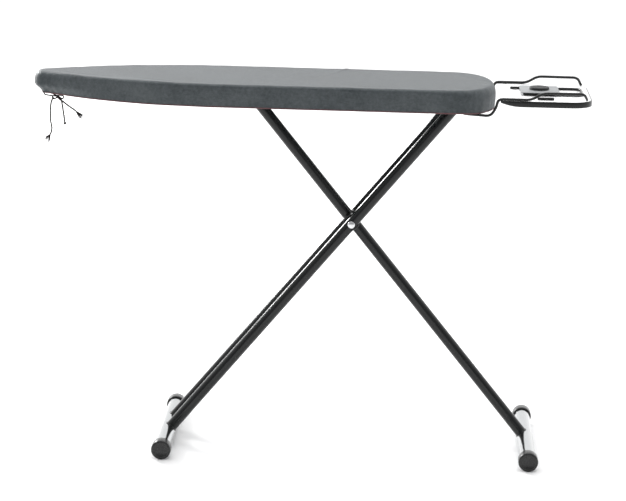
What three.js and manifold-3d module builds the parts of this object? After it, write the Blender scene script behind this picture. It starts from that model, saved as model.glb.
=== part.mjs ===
// Folding ironing board with a scissor leg frame, a padded cover and a wire iron rest.
// Millimetres, +Z up. The floor is z = 0, +X runs towards the iron rest and -X to the nose.
// The frame is drawn open at its top height, with the two legs crossing at x = 0 until the
// last lines move the whole board so that its box is centred over the origin.
import * as THREE from 'three';
import { mergeVertices } from 'three/addons/utils/BufferGeometryUtils.js';
import Module from 'manifold-3d';

const wasm = await Module();
wasm.setup();

// ---------------------------------------------------------------- driving dimensions

const GAP = 0.3;                 // left between pieces that touch

// legs
const LEG_UPPER = 404;           // crossing pin to top pivot
const LEG_LOWER = 703;           // crossing pin to foot tube
const LEG_ANGLE = 50.6;          // degrees above the floor, board at its top height
const FOLDED_ANGLE = 3;          // degrees above the board when folded flat
const LEG_R = 14;                // leg tube radius
const LEG_WALL = 1.2;
const LEG_A_SPREAD = 44;         // middle of the frame to each tube of the double leg
const LEG_TOP_END = 13;          // leg tube past its top pivot

// feet
const FOOT_R = 20;
const FOOT_WALL = 1.2;
const FOOT_HALF = 204;           // middle to the outer face of an end cap
const CAP_R = 24;                // middle of a facet, so the cap stands on a flat
const CAP_LENGTH = 30;
const CAP_WALL = 3;

// crossing and top pivots
const CROSS_PIN_R = 4;
const CROSS_HEAD_R = 9;
const CROSS_HEAD_RISE = 4;
const SPACER_R = 20;
const PIVOT_R = 5;
const SLEEVE_R = 9;
const CROSSBAR_R = 6;
const RUN = 0.4;                 // running clearance round a pin

// board
const BOARD_LENGTH = 1120;
const BOARD_HALF = 152;          // half the width of the cover
const END_OVERHANG = 83;         // fixed pivot to the square end of the cover
const NOSE_R = 42;
const NOSE_FLANK = 26;           // degrees from the long axis where the nose arc ends
const TAPER_LENGTH = 480;        // nose to full width
const TAPER_START = 0.31;        // pull of the flank's two ends, as shares of the taper
const TAPER_END = 0.58;
const END_LENGTH = 120;          // rounding of the square end
const END_ALONG = 2.6;           // squareness of that rounding along and across the board
const END_ACROSS = 2.2;
const PIVOT_DROP = 39.3;         // ironing surface to pivot axis

const COVER_THICK = 2;
const COVER_EDGE = 9;            // rounding where the cover turns down
const SKIRT = 50.5;               // ironing surface to the hem, above its binding
const PAD_THICK = 8;
const PANEL_THICK = 1;
const RIM_HEIGHT = 22;
const RIM_WALL = 1.5;
const RIM_INSET = 4;             // outside of the cover to outside of the rim
const BINDING_HEIGHT = 5;
const BINDING_WALL = 3;

const VENT_R = 7;
const VENT_PITCH_X = 70;
const VENT_PITCH_Y = 56;
const VENT_MARGIN = 24;

const STRAP_WIDTH = 22;
const STRAP_THICK = 2.5;
const STRAP_INSET = 1;           // strap ends to the inside of the rim
const STRAP_TO_HINGE = 62;       // nose strap to the lever hinge
const STRAP_MIDDLE = -52;        // middle strap to the crossing pin
const STRAP_TO_PIVOT = [-74, 52]; // end straps to the fixed pivot

// slide rails under the board
const RAIL_INNER = 68;           // middle to the open side of each rail
const RAIL_DEPTH = 20;
const RAIL_WALL = 1.5;
const SHOE_R = 8;
const SHOE_LENGTH = 12;
const RAIL_PLAY = 0.5;
const RAIL_END = 14;             // rail past the crossbar at each end of its travel
const BAR_PLAY = 1;              // crossbar end to the back of the rail

// fixed pivot brackets
const BRACKET_OFFSET = 66;
const BRACKET_THICK = 3;
const BRACKET_WIDTH = 46;
const BRACKET_DROP = 15;         // bracket below the pivot axis
const BRACKET_TIP = 14;          // half width of its lower edge
const BRACKET_FLANGE = 8;        // full width under the panel
const SLEEVE_PLAY = 1;           // sleeve end to the bracket
const PIVOT_THREAD = 2;          // pivot rod past its nut
const NUT_R = 9;
const NUT_LENGTH = 7;

// height rack and lever
const RACK_OFFSET = 24;          // middle to each rack strip
const RACK_THICK = 3;
const RACK_HEIGHT = 8;
const RACK_CLEAR = 0.8;          // teeth above the crossbar
const RACK_NOTCHES = 8;
const RACK_TOOTH = 4;            // depth of a notch
const RACK_FIRST = 40;           // first notch past the folded crossbar
const RACK_TAIL = 32;            // hinge pin past the folded crossbar
const RACK_HEAD = 22;            // rack past the crossbar when open
const RACK_EYE_R = 7;
const RACK_EYE_FLAT = 0.75;      // the eye's height against its width
const LEVER_PIN_R = 3;
const LEVER_REACH = 128;         // rack end to the end of the grip
const LEVER_THICK = 4;
const GRIP_LENGTH = 70;
const GRIP_HOLD = 42;            // blade inside the grip
const GRIP_WALL = 3;
const HINGE_LENGTH = 24;         // lever bracket along the board
const HINGE_DROP = 8;            // bracket below the hinge pin
const HINGE_WALL = 2;
const HINGE_ROOM = 3.5;          // rack strip to the bracket's ear
const LEVER_PIN_END = 4;         // pin past the ear
const SPRING_R = 6.5;
const SPRING_WIRE = 1;
const SPRING_TURNS = 3;
const SPRING_SPACE = 1.2;        // between turns

// iron rest, measured from the square end and the ironing surface
const REST_LENGTH = 227;
const REST_HALF = 133;
const REST_TILT = 0.2;           // degrees, outer end up
const REST_WIRE = 3.3;
const REST_LOW = -20;            // wires that lie on the tray
const REST_HIGH = -4;            // raised side wires
const REST_RAMP = [80, 107];     // where the side wires climb
const REST_RISE = [-19, -4, 1];   // where they come up round the square end
const REST_DIVE = [-108, -82];   // where they leave the panel and pass under the hem
const REST_START = -144;
const REST_KNEE = 20;            // height of the bend below the tray
const REST_UNDER_HEM = 1.4;      // hem binding to the wire below it
const REST_BEND = 12;            // easing of each bend
const REST_TIP = [22, 14];       // last bend and wire end, in from the outer end
const REST_TIP_IN = [8, 22];     // and in from the side
const REST_CORNER = 52;
const TRAY_START = 8;
const TRAY_THICK = 1;
const BAND_HEIGHT = 14;
const BAND_WALL = 3;
const LOOP_HALF = 46;
const LOOP_SPAN = [38, 208];
const LOOP_SHORT = 28;           // the near run starts this much later
const LOOP_CORNER = 20;
const PLATE_SPAN = [58, 152];
const PLATE_HALF = 54;
const PLATE_THICK = 1.5;
const PUCK_R = 24;
const PUCK_HEIGHT = 6;
const PUCK_CHAMFER = 2;
const HOOK_SPAN = [97, 134];
const HOOK_Y = -108;

// clamps that hold the side wires under the panel
const CLAMP_SPAN = [-140, -122];
const CLAMP_HALF = 16;
const CLAMP_HEIGHT = 12;
const CLAMP_ROOM = 25;           // rim to the clamp
const SCREW_R = 2.2;
const SCREW_HEAD_R = 4.5;
const SCREW_HEAD = 2.8;
const SCREW_OFFSET = 10;         // wire to the screw

// tie cord at the nose
const TIE_D = 3;
const TIE_SIDES = 8;
const KNOT_DROP = 62;            // ironing surface to the knot
const KNOT_X = 56;               // nose to the knot
const KNOT_HALF = [12, 6, 4.2];

// ---------------------------------------------------------------- derived places

const rad = THREE.MathUtils.degToRad;
const legAngle = rad(LEG_ANGLE);
const foldedAngle = rad(FOLDED_ANGLE);
const along = new THREE.Vector2(Math.cos(legAngle), Math.sin(legAngle));

const crossZ = CAP_R + LEG_LOWER * along.y;
const pivotX = LEG_UPPER * along.x;
const pivotZ = crossZ + LEG_UPPER * along.y;
const footX = LEG_LOWER * along.x;
const foldedBarX = pivotX - 2 * LEG_UPPER * Math.cos(foldedAngle);

const topZ = pivotZ + PIVOT_DROP;
const hemZ = topZ - SKIRT;
const padTop = topZ - COVER_THICK - GAP;
const panelTop = padTop - PAD_THICK - GAP;
const panelUnder = panelTop - PANEL_THICK;
const rimTop = panelUnder - GAP;

const endX = pivotX + END_OVERHANG;
const noseX = endX - BOARD_LENGTH;

const rackBottom = pivotZ + CROSSBAR_R + RACK_CLEAR;
const rackTop = rackBottom + RACK_HEIGHT;
const leverX = foldedBarX - RACK_TAIL;
const leverZ = rackBottom + RACK_HEIGHT / 2;
const rackEnd = -pivotX + RACK_HEAD;

// ---------------------------------------------------------------- finishes

const finish = (color, roughness, metalness) => () =>
  new THREE.MeshStandardMaterial({ color, roughness, metalness });

const coverCloth = finish(0x6f777b, 0.85, 0);
const bindingCloth = finish(0x4a3034, 0.85, 0);
const felt = finish(0xd9d6cf, 0.95, 0);
const cordThread = finish(0x2b2523, 0.9, 0);
const blackGloss = finish(0x16191a, 0.22, 0.1);
const greySteel = finish(0x8f9396, 0.35, 0.8);
const brightSteel = finish(0xc9ccce, 0.18, 1);
const footChrome = finish(0xbfc2c4, 0.15, 1);
const blackPlastic = finish(0x2f3131, 0.55, 0);
const rubber = finish(0x3a3a3a, 0.7, 0);

// ---------------------------------------------------------------- solids

function toSolid(geometry) {
  const bare = new THREE.BufferGeometry();
  bare.setAttribute('position', geometry.getAttribute('position'));
  if (geometry.index) bare.setIndex(geometry.index);
  const merged = mergeVertices(bare, 1e-4);
  return new wasm.Manifold(new wasm.Mesh({
    numProp: 3,
    vertProperties: merged.getAttribute('position').array,
    triVerts: new Uint32Array(merged.index.array),
  }));
}

function toGeometry(solid) {
  const mesh = solid.getMesh();
  const geometry = new THREE.BufferGeometry();
  geometry.setAttribute('position', new THREE.BufferAttribute(mesh.vertProperties, 3));
  geometry.setIndex(new THREE.BufferAttribute(mesh.triVerts, 1));
  return geometry;
}

function cut(geometry, ...tools) {
  let solid = toSolid(geometry);
  for (const tool of tools) solid = solid.subtract(toSolid(tool));
  return toGeometry(solid);
}

function join(first, ...others) {
  let solid = toSolid(first);
  for (const other of others) solid = solid.add(toSolid(other));
  return toGeometry(solid);
}

const point = (x, y, z) => new THREE.Vector3(x, y, z);

// A geometry made along +Z from the origin, laid from one point towards another.
function lay(geometry, from, to) {
  const direction = to.clone().sub(from).normalize();
  const turn = new THREE.Quaternion().setFromUnitVectors(point(0, 0, 1), direction);
  return geometry.applyQuaternion(turn).translate(from.x, from.y, from.z);
}

function circle(radius, sides, start = 0) {
  const points = [];
  for (let i = 0; i < sides; i += 1) {
    const angle = start + (2 * Math.PI * i) / sides;
    points.push(new THREE.Vector2(radius * Math.cos(angle), radius * Math.sin(angle)));
  }
  return points;
}

function prism(outline, depth, holes = []) {
  const shape = new THREE.Shape(outline);
  for (const hole of holes) shape.holes.push(new THREE.Path(hole));
  return new THREE.ExtrudeGeometry(shape, { depth, bevelEnabled: false });
}

function rod(radius, from, to, sides = 16) {
  return lay(prism(circle(radius, sides), from.distanceTo(to)), from, to);
}

function pipe(outer, inner, from, to, sides = 20) {
  const body = prism(circle(outer, sides), from.distanceTo(to), [circle(inner, sides)]);
  return lay(body, from, to);
}

function box(low, high) {
  const size = high.clone().sub(low);
  const middle = low.clone().add(high).multiplyScalar(0.5);
  return new THREE.BoxGeometry(size.x, size.y, size.z).translate(middle.x, middle.y, middle.z);
}

// A plate whose outline is drawn in the X-Z plane, from y to y + thick.
function sidePlate(outline, y, thick, holes = []) {
  return prism(outline, thick, holes).rotateX(Math.PI / 2).translate(0, y + thick, 0);
}

const reversed = (outline) => outline.slice().reverse();

// A bar of one cross-section, drawn as (y, z) points, from x to x + length.
function barAlongX(section, x, length) {
  return prism(section, length).rotateY(Math.PI / 2).rotateX(Math.PI / 2).translate(x, 0, 0);
}

// Closed skin over rings of equal point count, flat across the first and the last.
function loft(rings) {
  const count = rings[0].length;
  const vertices = rings.flat().flatMap((p) => [p.x, p.y, p.z]);
  const index = [];
  for (let ring = 0; ring < rings.length - 1; ring += 1) {
    for (let i = 0; i < count; i += 1) {
      const next = (i + 1) % count;
      const a = ring * count + i;
      const b = ring * count + next;
      const c = a + count;
      const d = b + count;
      index.push(a, b, d, a, d, c);
    }
  }
  const flat = rings[0].map((p) => new THREE.Vector2(p.x, p.y));
  const cap = THREE.ShapeUtils.triangulateShape(flat, []);
  const last = (rings.length - 1) * count;
  for (const [a, b, c] of cap) {
    index.push(c, b, a);
    index.push(last + a, last + b, last + c);
  }
  const geometry = new THREE.BufferGeometry();
  geometry.setAttribute('position', new THREE.Float32BufferAttribute(vertices, 3));
  geometry.setIndex(index);
  return geometry;
}

// Round wire through straight runs whose corners are eased by the given radius.
function bentWire(points, radius, ease, sides = 8) {
  const path = new THREE.CurvePath();
  let start = points[0];
  for (let i = 1; i < points.length - 1; i += 1) {
    const corner = points[i];
    const back = Math.min(ease, corner.distanceTo(points[i - 1]) * 0.45);
    const ahead = Math.min(ease, corner.distanceTo(points[i + 1]) * 0.45);
    const enter = corner.clone().lerp(points[i - 1], back / corner.distanceTo(points[i - 1]));
    const leave = corner.clone().lerp(points[i + 1], ahead / corner.distanceTo(points[i + 1]));
    path.add(new THREE.LineCurve3(start, enter));
    path.add(new THREE.QuadraticBezierCurve3(enter, corner, leave));
    start = leave;
  }
  path.add(new THREE.LineCurve3(start, points[points.length - 1]));
  return sweep(pathPoints(path), radius, sides);
}

// The ends of straight runs and four steps through each bend.
function pathPoints(path) {
  const points = [path.curves[0].getPoint(0)];
  for (const curve of path.curves) {
    const steps = curve.isLineCurve3 ? 1 : 4;
    for (let i = 1; i <= steps; i += 1) points.push(curve.getPoint(i / steps));
  }
  return points;
}

class Polyline extends THREE.Curve {
  constructor(points) {
    super();
    this.points = points;
  }

  getPoint(t) {
    const place = t * (this.points.length - 1);
    const i = Math.min(Math.floor(place), this.points.length - 2);
    return this.points[i].clone().lerp(this.points[i + 1], place - i);
  }

  getPointAt(t) {
    return this.getPoint(t);
  }

  getTangentAt(t) {
    const last = this.points.length - 1;
    const i = Math.round(t * last);
    const before = this.points[Math.max(i - 1, 0)];
    const after = this.points[Math.min(i + 1, last)];
    return after.clone().sub(before).normalize();
  }
}

function sweep(points, radius, sides) {
  const section = new THREE.Shape(circle(radius, sides));
  return new THREE.ExtrudeGeometry(section, {
    steps: points.length - 1,
    extrudePath: new Polyline(points),
    bevelEnabled: false,
  });
}

const model = new THREE.Group();

function add(name, geometry, material, parent = model) {
  const mesh = new THREE.Mesh(geometry, material());
  mesh.name = name;
  parent.add(mesh);
}

const SIDES = [['near', -1], ['far', 1]];

// ---------------------------------------------------------------- board outline

// Half of the plan, from the nose tip (0, 0) along +y, with the long axis as x.
function halfOutline() {
  const points = [];
  const arcSteps = 7;
  const arcEnd = Math.PI / 2 + rad(NOSE_FLANK);
  for (let i = 0; i <= arcSteps; i += 1) {
    const angle = Math.PI - ((Math.PI - arcEnd) * i) / arcSteps;
    points.push(new THREE.Vector2(NOSE_R + NOSE_R * Math.cos(angle), NOSE_R * Math.sin(angle)));
  }
  const flankStart = points[points.length - 1];
  const heading = new THREE.Vector2(Math.cos(rad(NOSE_FLANK)), Math.sin(rad(NOSE_FLANK)));
  const reach = TAPER_LENGTH * TAPER_START;
  const taper = new THREE.CubicBezierCurve(
    flankStart,
    flankStart.clone().addScaledVector(heading, reach),
    new THREE.Vector2(TAPER_LENGTH * TAPER_END, BOARD_HALF),
    new THREE.Vector2(TAPER_LENGTH, BOARD_HALF),
  );
  points.push(...taper.getPoints(12).slice(1));
  const endStart = BOARD_LENGTH - END_LENGTH;
  const endSteps = 14;
  for (let i = 0; i <= endSteps; i += 1) {
    const turn = (Math.PI / 2) * (i / endSteps);
    const x = endStart + END_LENGTH * Math.sin(turn) ** (2 / END_ALONG);
    const y = BOARD_HALF * Math.cos(turn) ** (2 / END_ACROSS);
    points.push(new THREE.Vector2(x, i === endSteps ? 0 : y));
  }
  return points;
}

// The whole plan, counter-clockwise, drawn in by an inset that follows the edge.
function boardOutline(inset) {
  const half = halfOutline();
  const lower = half.map((p) => new THREE.Vector2(p.x, -p.y));
  const upper = reversed(half.slice(1, -1));
  const loop = [...lower, ...upper];
  return loop.map((p, i) => {
    const before = loop[(i + loop.length - 1) % loop.length];
    const after = loop[(i + 1) % loop.length];
    const edge = after.clone().sub(before).normalize();
    return new THREE.Vector2(noseX + p.x - edge.y * inset, p.y + edge.x * inset);
  });
}

// Half of the inset plan's width at one place along the board.
function halfWidthAt(x, inset) {
  const outline = boardOutline(inset);
  let widest = 0;
  outline.forEach((p, i) => {
    const q = outline[(i + 1) % outline.length];
    if ((p.x - x) * (q.x - x) > 0 || p.x === q.x) return;
    const y = p.y + ((q.y - p.y) * (x - p.x)) / (q.x - p.x);
    widest = Math.max(widest, y);
  });
  return widest;
}

const ringAt = (inset, z) => boardOutline(inset).map((p) => point(p.x, p.y, z));

// ---------------------------------------------------------------- soft top

function makeCover() {
  const rings = [
    ringAt(COVER_EDGE, topZ - COVER_THICK),
    ringAt(COVER_THICK, topZ - COVER_EDGE),
    ringAt(COVER_THICK, hemZ),
    ringAt(0, hemZ),
  ];
  const steps = 3;
  for (let i = 0; i <= steps; i += 1) {
    const turn = (Math.PI / 2) * (i / steps);
    const inset = COVER_EDGE * (1 - Math.cos(turn));
    rings.push(ringAt(inset, topZ - COVER_EDGE * (1 - Math.sin(turn))));
  }
  return loft(rings);
}

function makeTop() {
  add('cover', makeCover(), coverCloth);

  const padInset = COVER_EDGE + GAP;
  add('pad', prism(boardOutline(padInset), PAD_THICK).translate(0, 0, padTop - PAD_THICK), felt);

  const bindingHole = reversed(boardOutline(BINDING_WALL));
  const binding = prism(boardOutline(0), BINDING_HEIGHT, [bindingHole]);
  add('hem_binding', binding.translate(0, 0, hemZ - BINDING_HEIGHT - GAP), bindingCloth);
}

// ---------------------------------------------------------------- steel top

function ventHoles() {
  const holes = [];
  const columns = Math.floor((BOARD_LENGTH - 2 * VENT_MARGIN) / VENT_PITCH_X);
  for (let i = 0; i <= columns; i += 1) {
    const x = noseX + VENT_MARGIN + VENT_R + i * VENT_PITCH_X;
    if (x > endX - VENT_MARGIN) continue;
    const room = halfWidthAt(x, RIM_INSET + RIM_WALL) - VENT_MARGIN;
    const rows = Math.floor(room / VENT_PITCH_Y);
    for (let row = -rows; row <= rows; row += 1) {
      const place = new THREE.Vector2(x, row * VENT_PITCH_Y);
      holes.push(circle(VENT_R, 6).map((p) => p.add(place)).reverse());
    }
  }
  return holes;
}

function makePanel() {
  const panel = prism(boardOutline(RIM_INSET), PANEL_THICK, ventHoles());
  add('panel', panel.translate(0, 0, panelUnder), greySteel);

  const rimHole = reversed(boardOutline(RIM_INSET + RIM_WALL));
  const rim = prism(boardOutline(RIM_INSET), RIM_HEIGHT, [rimHole]);
  add('rim', rim.translate(0, 0, rimTop - RIM_HEIGHT), greySteel);

  const strapPlaces = [
    leverX - STRAP_TO_HINGE, STRAP_MIDDLE, ...STRAP_TO_PIVOT.map((x) => pivotX + x),
  ];
  strapPlaces.forEach((x, i) => {
    const inset = RIM_INSET + RIM_WALL + STRAP_INSET;
    const low = halfWidthAt(x - STRAP_WIDTH / 2, inset);
    const high = halfWidthAt(x + STRAP_WIDTH / 2, inset);
    const half = Math.min(low, high);
    const strap = box(
      point(x - STRAP_WIDTH / 2, -half, rimTop - STRAP_THICK),
      point(x + STRAP_WIDTH / 2, half, rimTop),
    );
    add(`cross_strap_${i + 1}`, strap, greySteel);
  });
}

// ---------------------------------------------------------------- slide rails and pivot

function makeRails() {
  const slot = SHOE_R + RAIL_PLAY;
  const back = RAIL_INNER + RAIL_DEPTH;
  const from = foldedBarX - RAIL_END;
  const length = -pivotX + RAIL_END - from;
  for (const [name, side] of SIDES) {
    const section = [
      [RAIL_INNER, -slot - RAIL_WALL],
      [back, -slot - RAIL_WALL],
      [back, rimTop - pivotZ],
      [back - RAIL_WALL, rimTop - pivotZ],
      [back - RAIL_WALL, slot + RAIL_WALL],
      [RAIL_INNER, slot + RAIL_WALL],
      [RAIL_INNER, slot],
      [back - RAIL_WALL, slot],
      [back - RAIL_WALL, -slot],
      [RAIL_INNER, -slot],
    ].map(([y, z]) => new THREE.Vector2(side * y, pivotZ + z));
    const rail = barAlongX(side > 0 ? section : reversed(section), from, length);
    add(`slide_rail_${name}`, rail, greySteel);
  }
}

function bracketOutline() {
  const half = BRACKET_WIDTH / 2;
  const flange = rimTop - BRACKET_FLANGE;
  return [
    [-half, rimTop], [-half, flange], [-BRACKET_TIP, pivotZ - BRACKET_DROP],
    [BRACKET_TIP, pivotZ - BRACKET_DROP], [half, flange], [half, rimTop],
  ].map(([x, z]) => new THREE.Vector2(pivotX + x, z));
}

function makePivot() {
  const outer = BRACKET_OFFSET + BRACKET_THICK;
  const rodHalf = outer + NUT_LENGTH + PIVOT_THREAD;
  const centre = new THREE.Vector2(pivotX, pivotZ);
  const hole = circle(PIVOT_R + GAP, 20).map((p) => p.add(centre));
  for (const [name, side] of SIDES) {
    const y = side > 0 ? BRACKET_OFFSET : -outer;
    const plate = sidePlate(bracketOutline(), y, BRACKET_THICK, [reversed(hole)]);
    add(`pivot_bracket_${name}`, plate, greySteel);
    const nutY = side > 0 ? outer + GAP : -outer - GAP - NUT_LENGTH;
    const nutFrom = point(pivotX, nutY, pivotZ);
    const nutTo = point(pivotX, nutY + NUT_LENGTH, pivotZ);
    const nut = prism(circle(NUT_R, 6), NUT_LENGTH, [circle(PIVOT_R + GAP, 20)]);
    add(`pivot_nut_${name}`, lay(nut, nutFrom, nutTo), brightSteel);
  }
  const pin = rod(PIVOT_R, point(pivotX, -rodHalf, pivotZ), point(pivotX, rodHalf, pivotZ));
  add('pivot_rod', pin, brightSteel);
}

// ---------------------------------------------------------------- legs

// A point on a leg: distance up from the crossing, for the leg that leans to +X or -X.
function onLeg(lean, distance, y) {
  return point(lean * along.x * distance, y, crossZ + along.y * distance);
}

// A cutter along Y that reaches the same way to both sides of its centre.
function acrossHole(radius, centre, half, sides = 16) {
  const from = centre.clone().setY(centre.y - half);
  const to = centre.clone().setY(centre.y + half);
  return rod(radius, from, to, sides);
}

function legTube(lean, y, pinHole, topHole) {
  const low = onLeg(lean, -LEG_LOWER, y);
  const high = onLeg(lean, LEG_UPPER + LEG_TOP_END, y);
  const tube = pipe(LEG_R, LEG_R - LEG_WALL, low, high);
  const through = 2 * LEG_R;
  const foot = acrossHole(FOOT_R + GAP, low, through, 28);
  const cross = acrossHole(pinHole, onLeg(lean, 0, y), through);
  const top = acrossHole(topHole, onLeg(lean, LEG_UPPER, y), through);
  // the stub inside the foot tube goes with the saddle cut
  const below = rod(through, low.clone(), onLeg(lean, -LEG_LOWER - FOOT_R, y));
  return cut(tube, foot, cross, top, below);
}

function makeFoot(name, x) {
  const half = FOOT_HALF - CAP_WALL - GAP;
  const middle = point(x, 0, CAP_R);
  const low = middle.clone().setY(-half);
  const high = middle.clone().setY(half);
  add(`${name}_foot`, pipe(FOOT_R, FOOT_R - FOOT_WALL, low, high, 28), footChrome);
  const sides = 24;
  const corner = CAP_R / Math.cos(Math.PI / sides);
  const flatDown = Math.PI / sides;
  for (const [end, side] of SIDES) {
    const outer = middle.clone().setY(side * FOOT_HALF);
    const inner = middle.clone().setY(side * (FOOT_HALF - CAP_LENGTH));
    const body = lay(prism(circle(corner, sides, flatDown), CAP_LENGTH), outer, inner);
    const bottom = middle.clone().setY(side * (FOOT_HALF - CAP_WALL));
    const seat = rod(FOOT_R + GAP, bottom, middle, 28);
    add(`${name}_cap_${end}`, cut(body, seat), blackPlastic);
  }
}

function makeLegA() {
  for (const [name, side] of SIDES) {
    const y = side * LEG_A_SPREAD;
    add(`leg_a_tube_${name}`, legTube(1, y, CROSS_PIN_R + GAP, SLEEVE_R + GAP), blackGloss);
    const inner = side * (LEG_R + GAP);
    const outer = side * (LEG_A_SPREAD - LEG_R - GAP);
    const from = point(0, inner, crossZ);
    const to = point(0, outer, crossZ);
    add(`spacer_${name}`, pipe(SPACER_R, CROSS_PIN_R + GAP, from, to), blackPlastic);
  }
  const sleeveHalf = BRACKET_OFFSET - SLEEVE_PLAY;
  const sleeveLow = point(pivotX, -sleeveHalf, pivotZ);
  const sleeveHigh = point(pivotX, sleeveHalf, pivotZ);
  add('leg_a_sleeve', pipe(SLEEVE_R, PIVOT_R + RUN, sleeveLow, sleeveHigh), blackGloss);
  makeFoot('leg_a', -footX);

  // crossing pin with a domed head at each end
  const reach = LEG_A_SPREAD + LEG_R + GAP;
  const shoulder = [CROSS_HEAD_R * 0.6, reach + CROSS_HEAD_RISE * 0.8];
  const half = [[CROSS_PIN_R, reach], [CROSS_HEAD_R, reach], shoulder, [0, reach + CROSS_HEAD_RISE]];
  const other = reversed(half).map(([r, y]) => [r, -y]);
  const profile = [...other, ...half].map(([r, y]) => new THREE.Vector2(r, y));
  const pin = new THREE.LatheGeometry(profile, 24);
  add('cross_pin', pin.translate(0, 0, crossZ), brightSteel);
}

function makeLegB() {
  add('leg_b_tube', legTube(-1, 0, CROSS_PIN_R + RUN, CROSSBAR_R + GAP), blackGloss);
  makeFoot('leg_b', footX);
  const barHalf = RAIL_INNER + RAIL_DEPTH - RAIL_WALL - BAR_PLAY;
  const bar = rod(CROSSBAR_R, point(-pivotX, -barHalf, pivotZ), point(-pivotX, barHalf, pivotZ));
  add('leg_b_crossbar', bar, greySteel);
  for (const [name, side] of SIDES) {
    const from = point(-pivotX, side * (barHalf - SHOE_LENGTH), pivotZ);
    const to = point(-pivotX, side * barHalf, pivotZ);
    add(`slide_shoe_${name}`, pipe(SHOE_R, CROSSBAR_R + GAP, from, to), blackPlastic);
  }
}

// ---------------------------------------------------------------- height rack and lever

function rackOutline() {
  const first = foldedBarX + RACK_FIRST;
  const pitch = (-pivotX - first) / (RACK_NOTCHES - 1);
  const half = CROSSBAR_R + 1;
  const points = [new THREE.Vector2(leverX + RACK_EYE_R, rackTop)];
  const eyeSteps = 6;
  for (let i = 0; i < eyeSteps; i += 1) {
    const angle = Math.PI / 2 + (Math.PI * i) / eyeSteps;
    const x = leverX + RACK_EYE_R * Math.cos(angle);
    const z = leverZ + RACK_EYE_R * RACK_EYE_FLAT * Math.sin(angle);
    points.push(new THREE.Vector2(x, z));
  }
  points.push(new THREE.Vector2(leverX + RACK_EYE_R, rackBottom));
  for (let i = 0; i < RACK_NOTCHES; i += 1) {
    const x = first + i * pitch;
    points.push(new THREE.Vector2(x - half, rackBottom));
    points.push(new THREE.Vector2(x - half * 0.6, rackBottom + RACK_TOOTH));
    points.push(new THREE.Vector2(x + half * 0.9, rackBottom + RACK_TOOTH));
    points.push(new THREE.Vector2(x + half, rackBottom));
  }
  points.push(new THREE.Vector2(rackEnd, rackBottom));
  points.push(new THREE.Vector2(rackEnd, rackTop));
  return points;
}

function makeLever() {
  const eye = circle(LEVER_PIN_R + RUN, 16).map((p) => p.add(new THREE.Vector2(leverX, leverZ)));
  for (const [name, side] of SIDES) {
    const y = side * RACK_OFFSET - RACK_THICK / 2;
    const strip = sidePlate(rackOutline(), y, RACK_THICK, [reversed(eye)]);
    add(`height_rack_${name}`, strip, greySteel);
  }

  const half = RACK_OFFSET + RACK_THICK / 2;
  const bladeTop = rackBottom + LEVER_THICK;
  const gripEnd = rackEnd + LEVER_REACH;
  const gripFrom = gripEnd - GRIP_LENGTH;
  const bladeEnd = gripFrom + GRIP_HOLD;
  const bladeLow = point(rackEnd + GAP, -half, rackBottom);
  add('lever_blade', box(bladeLow, point(bladeEnd, half, bladeTop)), greySteel);

  const wide = half + GRIP_WALL;
  const gripLow = point(gripFrom, -wide, rackBottom - GRIP_WALL);
  const grip = box(gripLow, point(gripEnd, wide, bladeTop + GRIP_WALL));
  const pocketLow = point(gripFrom - 1, -half - GAP, rackBottom - GAP);
  const pocket = box(pocketLow, point(bladeEnd + GAP, half + GAP, bladeTop + GAP));
  add('lever_grip', cut(grip, pocket), blackPlastic);

  const ear = half + HINGE_ROOM;
  const earOut = ear + HINGE_WALL;
  const pinHalf = earOut + LEVER_PIN_END;
  const pinLow = point(leverX, -pinHalf, leverZ);
  add('lever_pin', rod(LEVER_PIN_R, pinLow, pinLow.clone().setY(pinHalf)), brightSteel);
  const hinge = point(leverX, 0, leverZ);
  const outLow = hinge.clone().add(point(-HINGE_LENGTH / 2, -earOut, -HINGE_DROP));
  const outHigh = point(leverX + HINGE_LENGTH / 2, earOut, rimTop);
  const inLow = hinge.clone().add(point(-HINGE_LENGTH, -ear, -2 * HINGE_DROP));
  const inHigh = point(leverX + HINGE_LENGTH, ear, rimTop - HINGE_WALL);
  const bore = acrossHole(LEVER_PIN_R + GAP, hinge, pinHalf);
  add('lever_bracket', cut(box(outLow, outHigh), box(inLow, inHigh), bore), greySteel);

  const steps = 10 * SPRING_TURNS;
  const pitch = SPRING_WIRE * 2 + SPRING_SPACE;
  const coilR = SPRING_R - SPRING_WIRE;
  const turns = [];
  for (let i = 0; i <= steps; i += 1) {
    const angle = (2 * Math.PI * i * SPRING_TURNS) / steps;
    const y = (i / steps - 0.5) * SPRING_TURNS * pitch;
    turns.push(point(leverX + coilR * Math.cos(angle), y, leverZ + coilR * Math.sin(angle)));
  }
  add('lever_spring', sweep(turns, SPRING_WIRE, 6), brightSteel);
}

// ---------------------------------------------------------------- iron rest

// Rounded plan of the tray: square at the board, round at the outer corners.
function restPlan(inset) {
  const half = REST_HALF - inset;
  const far = REST_LENGTH - inset;
  const corner = REST_CORNER - inset;
  const centre = new THREE.Vector2(far - corner, corner - half);
  const points = [new THREE.Vector2(TRAY_START, -half)];
  const steps = 8;
  for (let i = 0; i <= steps; i += 1) {
    const turn = ((Math.PI / 2) * i) / steps;
    const spoke = new THREE.Vector2(Math.sin(turn), -Math.cos(turn));
    points.push(centre.clone().addScaledVector(spoke, corner));
  }
  const upper = reversed(points.map((p) => new THREE.Vector2(p.x, -p.y)));
  return [...points, ...upper];
}

// Where the clamps sit, on the tilted frame of the rest: below the panel at their outer ends.
const restTilt = rad(REST_TILT);
const panelRoom = panelUnder - GAP - topZ - CLAMP_SPAN[1] * Math.sin(restTilt);
const clampTop = panelRoom / Math.cos(restTilt);
const tuckZ = clampTop - REST_WIRE - GAP;
const tuckY = halfWidthAt(endX + CLAMP_SPAN[0], RIM_INSET + RIM_WALL) - CLAMP_ROOM - CLAMP_HALF;

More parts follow.
